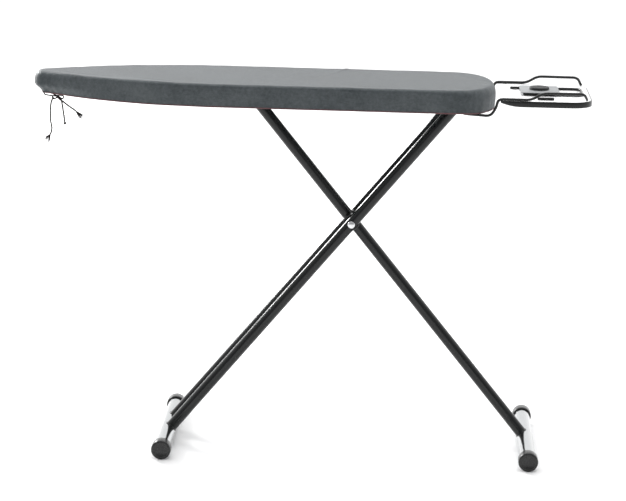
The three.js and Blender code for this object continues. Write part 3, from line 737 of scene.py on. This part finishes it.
def lay_uv(obj, count):
    """Cloth coordinates in metres: round the hem and up the skirt, then flat over the top."""
    layer = obj.data.uv_layers.new(name="cloth")
    step = HEM_LENGTH / count
    for face in obj.data.polygons:
        on_top = face.normal.z > 0.7
        for loop in face.loop_indices:
            index = obj.data.loops[loop].vertex_index
            p = obj.data.vertices[index].co
            column = index % count
            if column == 0 and face.vertices[0] % count != 0:
                column = count
            layer.data[loop].uv = (p.x, p.y) if on_top else (column * step, p.z)


def hem_ring(count):
    """Places of the hem with their outward directions."""
    return [(skirt_place(p, o, run, 1), o, run) for p, o, run in whole_plan(count)]


def make_tape():
    """Folded tape round the hem: a flattened U whose fold hangs below the cloth."""
    ring = hem_ring(COVER_COLUMNS)
    section = [
        (-0.1, -0.3), (0.2, -0.8), (0.2, -2), (-0.2, -2.7), (-0.9, -2.9), (-1.7, -2.7),
        (-2.2, -1.8), (-2.3, 1), (-2.2, 4.4), (-1.9, 4.7), (-1.5, 4.4), (-1.4, -0.3),
    ]
    points, faces = [], []
    for i, (place, out, run) in enumerate(ring):
        ripple = 0.25 * rumple(run * 120, out.x * 3, out.y * 3)
        for offset, height in section:
            q = Vector((out.x, out.y, 0)) * (offset + ripple) * MM
            points.append(place + q + Vector((0, 0, height * MM)))
    count, n = len(ring), len(section)
    for i in range(count):
        for k in range(n):
            a, b = i * n + k, ((i + 1) % count) * n + k
            c, d = ((i + 1) % count) * n + (k + 1) % n, i * n + (k + 1) % n
            faces.append((a, b, c, d))
    obj = from_points("hem_tape", points, [], faces)
    layer = obj.data.uv_layers.new(name="cloth")
    step = HEM_LENGTH / count
    for face in obj.data.polygons:
        column = face.index // n
        for corner, loop in enumerate(face.loop_indices):
            u = column + (1 if corner in (1, 2) else 0)
            v = (face.index % n) + (1 if corner in (2, 3) else 0)
            layer.data[loop].uv = (u * step, v * 1.2 * MM)
    tidy_normals(obj)
    return done(obj, "hem_tape", "board", "binding", "hem_binding", angle=60)


def make_stitches():
    """A run of lockstitch round the tape, one short thread copied round the hem."""
    count = 460
    ring = hem_ring(count)
    bpy.ops.mesh.primitive_cylinder_add(vertices=6, radius=0.28 * MM, depth=3.4 * MM)
    stitch = bpy.context.object
    choose(stitch, lambda middle, normal: abs(normal.z) > 0.9)
    bpy.ops.mesh.inset(thickness=0.12 * MM)
    bpy.ops.mesh.extrude_region_shrink_fatten(TRANSFORM_OT_shrink_fatten={"value": 0.12 * MM})
    leave(stitch)
    base = [v.co.copy() for v in stitch.data.vertices]
    polygons = [tuple(p.vertices) for p in stitch.data.polygons]
    points, faces = [], []
    for i, (place, out, _) in enumerate(ring):
        following = ring[(i + 1) % count][0]
        heading = (following - place).normalized()
        across = Vector((out.x, out.y, 0))
        up = heading.cross(across)
        middle = (place + following) / 2 + across * 0.12 * MM + Vector((0, 0, 1.6 * MM))
        start = len(points)
        for v in base:
            dip = across * (-0.22 * MM * (abs(v.z) / (1.7 * MM)) ** 2)
            points.append(middle + heading * v.z + across * v.x + up * v.y + dip)
        faces += [tuple(start + k for k in p) for p in polygons]
    bpy.data.objects.remove(stitch)
    obj = from_points("stitches", points, [], faces)
    tidy_normals(obj)
    return done(obj, "hem_stitches", "board", "binding")


# ---- underlay and steel top


def make_underlay():
    """The felt pad: a flat closed form with soft edges, a little thinner towards its rim."""
    count, thick, round_r = 300, 8 * MM, 3 * MM
    top = TOP - 2.3 * MM
    ring = whole_plan(count)
    rows = [("low", s) for s in (1, 0.75, 0.5, 0.25, 0.08)]
    rows += [("side", a) for a in (-90, -60, -30, 0, 30, 60, 90)]
    rows += [("high", s) for s in (0.08, 0.25, 0.5, 0.75, 1)]
    points = []
    for kind, value in rows:
        for place, out, run in ring:
            edge = place - out * (edge_roll(place, run)[0] + 0.4 * MM + round_r)
            spine = Vector((max(NOSE + 60 * MM, min(END - 130 * MM, place.x)), 0))
            if kind == "side":
                turn = math.radians(value)
                q = edge + out * round_r * math.cos(turn)
                z = top - thick / 2 + (thick / 2) * math.sin(turn)
            else:
                q = edge.lerp(spine, value)
                z = top if kind == "high" else top - thick
            soft = 0.25 * MM * rumple(q.x * 18, q.y * 18, z * 50)
            points.append(Vector((q.x, q.y, z - abs(soft) * (1 if kind == "high" else -1))))
    obj = from_points("underlay", points, [], ring_faces(len(rows), count))
    tidy_normals(obj)
    return done(obj, "felt_underlay", "board", "felt", "pad", angle=60)


PANEL_INSET, RIM_INNER = 4 * MM, 5.5 * MM
VENT_R, VENT_MARGIN = 7 * MM, 24 * MM
VENT_PITCH_X, VENT_PITCH_Y = 70 * MM, 56 * MM


def vent_places():
    """Vent centres of the drawn panel."""
    half = half_plan()
    places = []
    for i in range(int((BOARD_LENGTH - 2 * VENT_MARGIN) / VENT_PITCH_X) + 1):
        x = VENT_MARGIN + VENT_R + i * VENT_PITCH_X
        if x > BOARD_LENGTH - VENT_MARGIN:
            continue
        width = max((p.y for p in half if abs(p.x - x) < 12 * MM), default=0)
        rows = int((width - RIM_INNER - VENT_MARGIN) / VENT_PITCH_Y)
        places += [(NOSE + x, row * VENT_PITCH_Y) for row in range(-rows, rows + 1)]
    return places


def make_steel_top():
    low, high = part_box("panel")
    holes = []
    for x, y in vent_places():
        ring = [FULL_TURN * i / 20 for i in range(20)]
        holes.append([(x + VENT_R * math.cos(a), y + VENT_R * math.sin(a)) for a in ring])
    panel = flat_plate([plan_loop(PANEL_INSET), *holes], low.z, high.z, 0.2 * MM)
    done(panel, "steel_top", "board", "grey_steel", "panel")
    low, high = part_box("rim")
    loops = [plan_loop(PANEL_INSET), plan_loop(RIM_INNER)]
    rim = flat_plate(loops, low.z, high.z, 0.35 * MM)
    done(rim, "turned_rim", "board", "grey_steel", "rim")


def make_strap(index):
    """Pressed cross strap with a raised rib along its length."""
    node = f"cross_strap_{index}"
    low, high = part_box(node)
    strap = block((low + high) / 2, high - low)
    choose(strap, lambda middle, normal: normal.z < -0.9)
    bpy.ops.mesh.inset(thickness=6 * MM)
    bpy.ops.mesh.extrude_region_move(TRANSFORM_OT_translate={"value": (0, 0, -1.6 * MM)})
    bpy.ops.mesh.inset(thickness=1.2 * MM)
    leave(strap)
    ease(strap, 0.5 * MM)
    done(strap, f"pressed_strap_{index}", "board", "grey_steel", node)


# ---- legs and feet


def make_leg(name, body, foot, top_pin, y, node):
    """Round tube from the foot to its top pin, with a domed plug in the open end."""
    low = Vector((foot.x, y, foot.z))
    high = Vector((top_pin.x, y, top_pin.z))
    heading = (high - low).normalized()
    start = low + heading * LEG_SADDLE
    length = (high - start).length + LEG_TOP_END
    inner = LEG_R - LEG_WALL
    profile = [
        (0, inner), (0, LEG_R), (length - 0.6 * MM, LEG_R), (length, LEG_R - 0.6 * MM),
        (length, inner), (6 * MM, inner),
    ]
    tube = turned(start, high, profile, 56)
    done(tube, name, body, "black_enamel", node)
    plug = turned(
        high + heading * (LEG_TOP_END - 8 * MM), high + heading,
        [(0, 0), (0, inner - 0.3 * MM), (8 * MM, inner - 0.3 * MM), (8 * MM, LEG_R - 1.5 * MM),
         (8.6 * MM, LEG_R - 1.2 * MM), (9.6 * MM, LEG_R - 3 * MM), (10.2 * MM, LEG_R - 7 * MM),
         (10.4 * MM, 0)],
        40,
    )
    done(plug, f"{name}_plug", body, "black_plastic")
    make_weld(name, body, low, heading)


def make_weld(name, body, low, heading):
    """Bead round the saddle joint of a leg tube on its foot tube."""
    side = Vector((0, 1, 0))
    up = heading.cross(side)
    bead = []
    for i in range(72):
        turn = FULL_TURN * i / 72
        reach = math.sqrt(FOOT_R**2 - (LEG_R * math.sin(turn)) ** 2)
        ripple = 1 + 0.02 * math.sin(turn * 24)
        spoke = (side * math.cos(turn) + up * math.sin(turn)) * LEG_R * ripple
        bead.append(low + heading * (reach + 0.2 * MM) + spoke)
    weld = wire(bead, 1.5 * MM, closed=True, sides=2)
    done(weld, f"{name}_weld", body, "black_enamel", angle=80)


def make_foot(name, body, foot, node):
    half = (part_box(node)[1].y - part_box(node)[0].y) / 2
    low, high = foot - Vector((0, half, 0)), foot + Vector((0, half, 0))
    tube = turned(low, high, sleeve(2 * half, FOOT_R, FOOT_R - LEG_WALL), 72)
    done(tube, f"{name}_foot_tube", body, "foot_chrome", node)
    for end, side in (("near", -1), ("far", 1)):
        cap_node = node.replace("foot", f"cap_{end}")
        box_low, box_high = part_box(cap_node)
        outer = Vector((foot.x, box_low.y if side < 0 else box_high.y, foot.z))
        inner = outer - Vector((0, side * CAP_LENGTH, 0))
        bore = FOOT_R + 0.3 * MM
        profile = [
            (0.7, 0), (0.7, 16.2), (0.3, 16.9), (0, 17.4), (0, 20.4), (0.5, 22.1), (1.6, 23.3),
            (3.4, 24), (26.8, 24), (28.6, 23.7), (29.7, 22.9), (30, 22), (30, 20.7),
        ]
        profile = [(d * MM, r * MM) for d, r in profile]
        profile += [(29.6 * MM, bore), (3 * MM, bore), (3 * MM, 0)]
        cap = turned(outer, inner, profile, 72)
        done(cap, f"{name}_end_cap_{end}", body, "black_plastic", cap_node, angle=30)


def across(node, axis, shape, sizes):
    """A bar or sleeve on an axis that crosses the board, as long as the drawn solid."""
    low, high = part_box(node)
    profile = shape(high.y - low.y, *(size * MM for size in sizes))
    return turned((axis.x, low.y, axis.z), (axis.x, high.y, axis.z), profile)


def make_pins():
    low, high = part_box("cross_pin")
    half = (high.y - low.y) / 2
    rise, head, pin = 4 * MM, 9 * MM, 4 * MM
    dome = [(rise - rise * math.cos(a), head * math.sin(a)) for a in
            (math.radians(k * 90 / 7) for k in range(8))]
    one = [*dome, (rise + 0.5 * MM, head), (rise + 0.5 * MM, pin)]
    other = [(2 * half - d, r) for d, r in reversed(one)]
    rivet = turned((PIN.x, -half, PIN.z), (PIN.x, half, PIN.z), one + other)
    done(rivet, "crossing_rivet", "leg_a", "bright_steel", "cross_pin")

    for node, name, body, slot, axis, shape, *sizes in (
        ("pivot_rod", "top_pivot_rod", "board", "bright_steel", PIVOT, bar, 5, 0.8),
        ("leg_a_sleeve", "top_pivot_sleeve", "leg_a", "black_enamel", PIVOT, sleeve, 9, 5.4),
        ("leg_b_crossbar", "sliding_crossbar", "leg_b", "grey_steel", CROSSBAR, bar, 6, 0.8),
        ("lever_pin", "lever_hinge_pin", "board", "bright_steel", LEVER_PIN, bar, 3),
    ):
        done(across(node, axis, shape, sizes), name, body, slot, node)
    for side in ("near", "far"):
        ring = across(f"spacer_{side}", PIN, sleeve, (20, 4.3, 1.2))
        done(ring, f"leg_spacer_{side}", "leg_a", "black_plastic", f"spacer_{side}")
        shoe = across(f"slide_shoe_{side}", CROSSBAR, sleeve, (8, 6.3, 0.6))
        done(shoe, f"rail_shoe_{side}", "leg_b", "black_plastic", f"slide_shoe_{side}")


def make_fittings():
    """Pressed and cut steel pieces whose drawn shape is right: only their edges are eased."""
    for side in ("near", "far"):
        for node, name, width, body, slot in (
            ("slide_rail", "crossbar_rail", 0.35, "board", "grey_steel"),
            ("pivot_bracket", "pivot_plate", 0.5, "board", "grey_steel"),
            ("pivot_nut", "pivot_hex_nut", 0.7, "board", "bright_steel"),
            ("rest_clamp", "rest_saddle", 0.6, "board", "grey_steel"),
            ("rest_screw", "rest_machine_screw", 0.35, "board", "bright_steel"),
            ("height_rack", "notched_rack", 0.35, "lever", "grey_steel"),
        ):
            piece = refined(f"{node}_{side}", width * MM)
            done(piece, f"{name}_{side}", body, slot, f"{node}_{side}")
    for node, name, width, segments, body, slot in (
        ("lever_bracket", "lever_hinge_bracket", 0.5, 2, "board", "grey_steel"),
        ("lever_blade", "lever_flat", 0.8, 2, "lever", "grey_steel"),
        ("lever_grip", "lever_handle", 2.2, 4, "lever", "black_plastic"),
    ):
        done(refined(node, width * MM, segments), name, body, slot, node)

    turns, steps, rise, coil_r = 3, 20, 3.2 * MM, 5.5 * MM
    coil = []
    for i in range(steps * turns + 1):
        angle = FULL_TURN * i / steps
        y = (i / (steps * turns) - 0.5) * turns * rise
        spoke = Vector((coil_r * math.cos(angle), 0, coil_r * math.sin(angle)))
        coil.append(Vector((LEVER_PIN.x, y, LEVER_PIN.z)) + spoke)
    spring = wire(coil, 1 * MM, sides=2)
    done(spring, "lever_return_spring", "board", "bright_steel", "lever_spring")


# ---- iron rest


# Millimetres along, across and above, from the middle of the board's end at its top.
BAND_END, BAND_HALF, BAND_CORNER, BAND_DEPTH = 227, 133, 52, 14
TRAY_START, TRAY_END, TRAY_HALF, TRAY_CORNER, TRAY_TOP = 8, 223.7, 129.7, 48.7, -23.6
WIRE_R, WIRE_Y, WIRE_Z = 3.3, 129.7, -20
PLATE_MIDDLE = 105


def rest_sheet(end, half, corner):
    """A flat blank at the tray's height, round at its outer corners."""
    middle = Vector(((TRAY_START + end) / 2, 0, TRAY_TOP)) * MM
    bpy.ops.mesh.primitive_plane_add(size=1, location=middle)
    sheet = bpy.context.object
    sheet.scale = ((end - TRAY_START) * MM, 2 * half * MM, 1)
    placed(sheet)
    choose(sheet, lambda middle, normal: middle.x > (end - 1) * MM, "VERT")
    bpy.ops.mesh.bevel(offset=corner * MM, segments=14, affect="VERTICES")
    return leave(sheet)


def make_rest_tray():
    tray = rest_sheet(TRAY_END, TRAY_HALF, TRAY_CORNER)
    modify(tray, "SOLIDIFY", thickness=1 * MM, offset=-1)
    ease(tray, 0.3 * MM)
    placed(tray, REST_PLACE)
    done(tray, "rest_floor", "board", "bright_steel", "rest_tray", finish=TINPLATE)

    band = rest_sheet(BAND_END, BAND_HALF, BAND_CORNER)
    edit(band, selection="SELECT")
    bpy.ops.mesh.delete(type="ONLY_FACE")
    leave(band)
    inner = (TRAY_START + 0.5) * MM
    choose(band, lambda middle, along: middle.x < inner and abs(along.y) > 0.9, "EDGE")
    bpy.ops.mesh.delete(type="EDGE")
    leave(band)
    edit(band, "EDGE", "SELECT")
    bpy.ops.mesh.extrude_region_move(TRANSFORM_OT_translate={"value": (0, 0, -BAND_DEPTH * MM)})
    leave(band)
    for x in (11, 15, 20, 26, 33, 41, 50, 60):
        edit(band, selection="SELECT")
        bpy.ops.mesh.bisect(plane_co=(x * MM, 0, 0), plane_no=(1, 0, 0))
        leave(band)
    for v in band.data.vertices:
        if v.co.z < -30 * MM:
            v.co.z += 12.8 * MM * (1 - smooth(-14, 62, v.co.x / MM)) ** 1.5
    tidy_normals(band)
    modify(band, "SOLIDIFY", thickness=3 * MM, offset=-1, use_even_offset=True)
    ease(band, 0.9 * MM, 3, 50)
    placed(band, REST_PLACE)
    done(band, "rest_edge_band", "board", "black_enamel", "rest_band")


def rest_wire(name, node, corners, bend=0, steps=7):
    path = eased_path([Vector(c) * MM for c in corners], bend * MM, steps)
    done(wire(path, WIRE_R * MM, REST_PLACE, 5), name, "board", "black_enamel", node)


def make_rest_wires():
    for side_name, side in (("near", -1), ("far", 1)):
        y, tuck = side * WIRE_Y, side * 105.5
        rest_wire(f"rest_side_wire_{side_name}", f"rest_wire_{side_name}", [
            (-144, tuck, -12.31), (-108, tuck, -12.31), (-82, tuck, -61), (-15, y, -61),
            (-2, y, -40.5), (2, y, WIRE_Z), (80, y, WIRE_Z), (107, y, -4),
            (205, side * 125, -4), (213, side * 111, WIRE_Z),
        ], 12)
    loop = [(38, 46, WIRE_Z), (208, 46, WIRE_Z), (208, -46, WIRE_Z), (66, -46, WIRE_Z)]
    rest_wire("rest_loop_wire", "rest_inner_loop", loop, 20, 10)
    rest_wire("rest_stop_wire", "rest_stop", [(97, -108, WIRE_Z), (134, -108, WIRE_Z)])


def make_rest_plate():
    """Pressed plate with round corners, and the round rubber pad that sits on it."""
    plate = block(Vector((PLATE_MIDDLE, 0, -15.65)) * MM, (94 * MM, 108 * MM, 1.5 * MM))
    choose(plate, lambda middle, along: abs(along.z) > 0.9, "EDGE")
    bpy.ops.mesh.bevel(offset=7 * MM, segments=6, affect="EDGES")
    leave(plate)
    ease(plate, 0.5 * MM, 2, 50)
    placed(plate, REST_PLACE)
    done(plate, "rest_pressed_plate", "board", "grey_steel", "rest_plate")

    low = REST_PLACE @ Vector((PLATE_MIDDLE * MM, 0, -14.6 * MM))
    high = REST_PLACE @ Vector((PLATE_MIDDLE * MM, 0, 0))
    profile = [
        (0, 0), (0, 23.2), (0.8, 24), (3.6, 24), (5.2, 23.2), (6, 21.6), (6, 17),
        (5.3, 16.2), (5.3, 14.4), (6, 13.6), (6, 7), (5.5, 6), (5.5, 0),
    ]
    puck = turned(low, high, [(d * MM, r * MM) for d, r in profile], 64)
    done(puck, "rest_round_pad", "board", "rubber", "rest_puck", angle=30)


# ---- drawstring

CORD_R = 1.9 * MM
CORD_STEP = 0.5 * MM
TIE_LONG = [
    (47, -6, -67), (43, -8, -72), (40.5, -9, -80), (39, -9, -92), (38.5, -9, -108),
    (39, -9, -123), (41, -9, -134), (42, -8, -143), (40, -7, -153), (37.5, -6.5, -159),
]
TIE_MID = [
    (58, 6, -67), (61, 9, -72), (63.5, 10, -79), (65, 10, -88), (67, 10, -101),
    (69, 10, -115), (70.5, 10, -126), (71.5, 10, -133),
]
TIE_SHORT = [
    (56, -4, -67.5), (61, -3, -72), (69, -3, -77.5), (78, -4, -84), (88, -4, -91),
    (96, -5, -96), (101, -5, -100),
]


def at_nose(places):
    """Places from the nose tip, across, and down from the ironing surface, as points."""
    return [Vector((NOSE + x * MM, y * MM, TOP + z * MM)) for x, y, z in places]


def flowing(points, steps=6):
    """A smooth line through the points."""
    line, n = [], len(points)
    for i in range(n - 1):
        p = [points[max(0, min(n - 1, i + k))] for k in (-1, 0, 1, 2)]
        for s in range(steps):
            t = s / steps
            line.append(0.5 * (
                2 * p[1] + (p[2] - p[0]) * t + (2 * p[0] - 5 * p[1] + 4 * p[2] - p[3]) * t * t
                + (3 * p[1] - p[0] - 3 * p[2] + p[3]) * t**3
            ))
    return [*line, points[-1]]


def even_line(points, step):
    """The same line with its points a step apart, and its length."""
    total = sum((q - p).length for p, q in zip(points, points[1:]))
    places, _ = spaced(points, max(2, round(total / step)))
    return [*places, points[-1]], total


def twisted_tube(line, radius, plies=3, lay=7 * MM, sides=15, taper=0.0):
    """A laid cord: its plies show as ridges that wind round the line."""
    points, side = [], None
    step = (line[1] - line[0]).length
    for i, place in enumerate(line):
        heading = (line[min(i + 1, len(line) - 1)] - line[max(i - 1, 0)]).normalized()
        if side is None:
            side = heading.orthogonal().normalized()
        side = (side - heading * side.dot(heading)).normalized()
        other = heading.cross(side)
        end = min(i, len(line) - 1 - i) * step
        shrink = min(1.0, 0.55 + 0.45 * end / (0.8 * radius)) * (1 - taper * i / len(line))
        for k in range(sides):
            turn = FULL_TURN * k / sides
            ply = abs(math.cos((turn - FULL_TURN * i * step / lay) * plies / 2))
            r = radius * shrink * (0.88 + 0.16 * ply**0.6)
            points.append(place + (side * math.cos(turn) + other * math.sin(turn)) * r)
    last = (len(line) - 1) * sides
    ends = [tuple(range(sides))[::-1], tuple(range(last, last + sides))]
    return points, ring_faces(len(line), sides) + ends


def laid_cord(points, radius, step=CORD_STEP, **shape):
    return twisted_tube(even_line(flowing(points), step)[0], radius, **shape)


def joined_tubes(tubes):
    points, faces = [], []
    for some_points, some_faces in tubes:
        start = len(points)
        points += some_points
        faces += [tuple(start + k for k in f) for f in some_faces]
    obj = from_points("cords", points, [], faces)
    tidy_normals(obj)
    return obj


def tassel(name, end, heading, strands, reach, spread, clumps):
    """Untwisted plies at a cord's end, in a few loose clumps."""
    tubes = []
    for i in range(strands):
        clump = clumps[i % len(clumps)]
        aim = (heading + Vector(clump) * spread).normalized()
        jitter = Vector([RNG.uniform(-1, 1) for _ in range(3)]) * 0.16
        aim = (aim + jitter).normalized()
        start = end - heading * 2 * MM + Vector([RNG.uniform(-1, 1) for _ in range(3)]) * 0.7 * MM
        length = reach * RNG.uniform(0.6, 1.0)
        droop = Vector((0, 0, -1)) * RNG.uniform(0.02, 0.16)
        line = [start + heading * 2 * MM * min(1, t * 3) + (aim + droop * t) * length * t
                for t in (k / 8 for k in range(9))]
        tubes.append(twisted_tube(line, RNG.uniform(0.3, 0.5) * MM, 2, 3 * MM, 5, 0.6))
    obj = joined_tubes(tubes)
    return done(obj, name, "board", "cord", angle=80)


def make_tie(name, node, places):
    line, length = even_line(flowing(at_nose(places)), CORD_STEP)
    obj = joined_tubes([twisted_tube(line, CORD_R)])
    done(obj, name, "board", "cord", node, angle=80)
    path = even_line(line, 3 * MM)[0]


def make_bow():
    """Slip bow under the nose: two small loops, the wrapped knot and the two drawn-in runs."""
    left = [
        (54, -4, -64), (49, -6, -62.5), (44.5, -7, -64), (43.5, -7, -68), (47, -6, -70.5),
        (52, -5, -68.5), (56, -3, -65),
    ]
    right = [
        (57, -1, -64), (62, 1, -62.5), (67, 2, -63.5), (69.5, 2, -67), (67, 1, -70.5), (62, 0, -69),
        (58, -2, -65.5),
    ]
    near_run = [
        (23, -17, -51), (27, -22, -57), (34, -19, -59.5), (43, -12, -62), (51, -5, -64),
        (57, -1, -65),
    ]
    far_run = [(24, 17, -52), (31, 19, -57.5), (42, 11, -61), (51, 4, -63.5), (58, -1, -65)]
    tubes = [laid_cord(at_nose(route), 1.6 * MM) for route in (left, right, near_run, far_run)]
    for shift, lean in ((-1.6, 0.35), (0.4, -0.2), (2.2, 0.15)):
        wrap = []
        for i in range(14):
            turn = FULL_TURN * i / 13
            wrap.append((
                56 + shift + 2.2 * lean * math.sin(turn), -2.5 + 3.1 * math.cos(turn),
                -65.5 + 3.3 * math.sin(turn),
            ))
        tubes.append(laid_cord(at_nose(wrap), 1.25 * MM))
    obj = joined_tubes(tubes)
    return done(obj, "drawstring_bow", "board", "cord", "tie_knot", angle=80)


def make_ties():
    bow = make_bow()
    ends = {}
    for key, places in (("long", TIE_LONG), ("short", TIE_SHORT), ("mid", TIE_MID)):
        line = at_nose(places)
        ends[key] = (line[-1], (line[-1] - line[-2]).normalized())
    long_tassel = tassel(
        "tassel_long", *ends["long"], 60, 20 * MM, 0.55,
        [(-1.1, 0, 0.55), (-0.5, 0, 0.3), (0.35, 0.1, -0.3), (0.1, -0.2, 0)],
    )
    short_tassel = tassel(
        "tassel_short", *ends["short"], 60, 25 * MM, 0.5,
        [(-0.3, 0, -0.75), (-0.15, 0.1, -0.5), (0.1, -0.2, -0.35), (0.4, 0, 0.1)],
    )
    end, heading = ends["mid"]
    side = heading.orthogonal().normalized()
    other = heading.cross(side)
    tubes = []
    for lean in (-0.5, 0.15, 0.7):
        ring = []
        for i in range(15):
            turn = FULL_TURN * i / 14
            spoke = (side * math.cos(turn) + other * math.sin(turn)) * 2 * MM
            ring.append(end + spoke + heading * (lean * 1.8 + 0.7 * math.sin(turn)) * MM)
        tubes.append(laid_cord(ring, 1.3 * MM, 0.4 * MM, sides=11))
    stray = at_nose([
        (69, 8, -119), (71.5, 7, -115), (74, 6, -108), (74, 6, -101), (71, 7, -95), (67, 8.3, -92),
    ])
    tubes.append(laid_cord(stray, 0.4 * MM, 0.8 * MM, plies=2, lay=3 * MM, sides=5))
    stub = [end + heading * k * MM + side * 0.2 * k * MM for k in (1, 2.5, 4, 5.5)]
    tubes.append(twisted_tube(even_line(stub, CORD_STEP)[0], 0.9 * MM, sides=9, taper=0.5))
    mid_knot = joined_tubes(tubes)
    done(mid_knot, "tie_end_knot", "board", "cord", angle=80)
    make_tie("drawstring_end_long", "tie_long", TIE_LONG)
    make_tie("drawstring_end_mid", "tie_mid", TIE_MID)
    make_tie("drawstring_end_short", "tie_short", TIE_SHORT)


# ---- floor and light


def make_surroundings():
    """A dim room in front of a bright sweep that rises behind the board."""
    world = bpy.data.worlds.new("studio")
    world.use_nodes = True
    w = Nodes(world.node_tree)
    _, back, up = w.parts(w.add("ShaderNodeTexCoord", output="Generated"))
    glow = w.ramp(
        back * 0.5 + up * 0.12 + 0.5,
        (0.12, (0.24, 0.24, 0.245)), (0.5, (0.55, 0.55, 0.555)), (0.8, (1, 1, 1)),
    )
    background = world.node_tree.nodes["Background"]
    world.node_tree.links.new(glow.socket, background.inputs["Color"])
    background.inputs["Strength"].default_value = 1.55
    bpy.context.scene.world = world


def make_light(name, place, aim, size, power):
    data = bpy.data.lights.new(name, "AREA")
    data.shape = "SQUARE"
    data.size = size
    data.energy = power
    light = linked(name, data)
    light.location = place
    light.rotation_mode = "QUATERNION"
    light.rotation_quaternion = (Vector(aim) - Vector(place)).to_track_quat("-Z", "Y")


def make_stage():
    bpy.ops.mesh.primitive_plane_add(size=80, location=(0, 0, 0))
    floor = bpy.context.object
    floor.name = "floor"
    f = Finish("pale_floor", roughness=0.7, specular_ior_level=0.1)
    f.feed(base_color=(0.98, 0.98, 0.98, 1))
    floor.data.materials.append(f.material)
    make_surroundings()
    make_light("overhead", (0.1, 0.2, 4.2), (0, 0.1, 0.6), 3.6, 70)
    make_light("left_back_rim", (-3.6, 4.2, 2.5), (0, 0, 0.5), 1.5, 250)
    bpy.context.scene.view_settings.view_transform = "Standard"


# ---- assembly

make_camera()
make_ties()

cover = make_cover()
tape = make_tape()
stitches = make_stitches()
underlay = make_underlay()

make_steel_top()
for strap_index in (1, 2, 3, 4):
    make_strap(strap_index)
make_leg("double_leg_near", "leg_a", FOOT_A, PIVOT, -LEG_OFFSET, "leg_a_tube_near")
make_leg("double_leg_far", "leg_a", FOOT_A, PIVOT, LEG_OFFSET, "leg_a_tube_far")
make_leg("single_leg", "leg_b", FOOT_B, CROSSBAR, 0, "leg_b_tube")
make_foot("double_leg", "leg_a", FOOT_A, "leg_a_foot")
make_foot("single_leg", "leg_b", FOOT_B, "leg_b_foot")
make_pins()
make_fittings()
make_rest_tray()
make_rest_wires()
make_rest_plate()
make_stage()
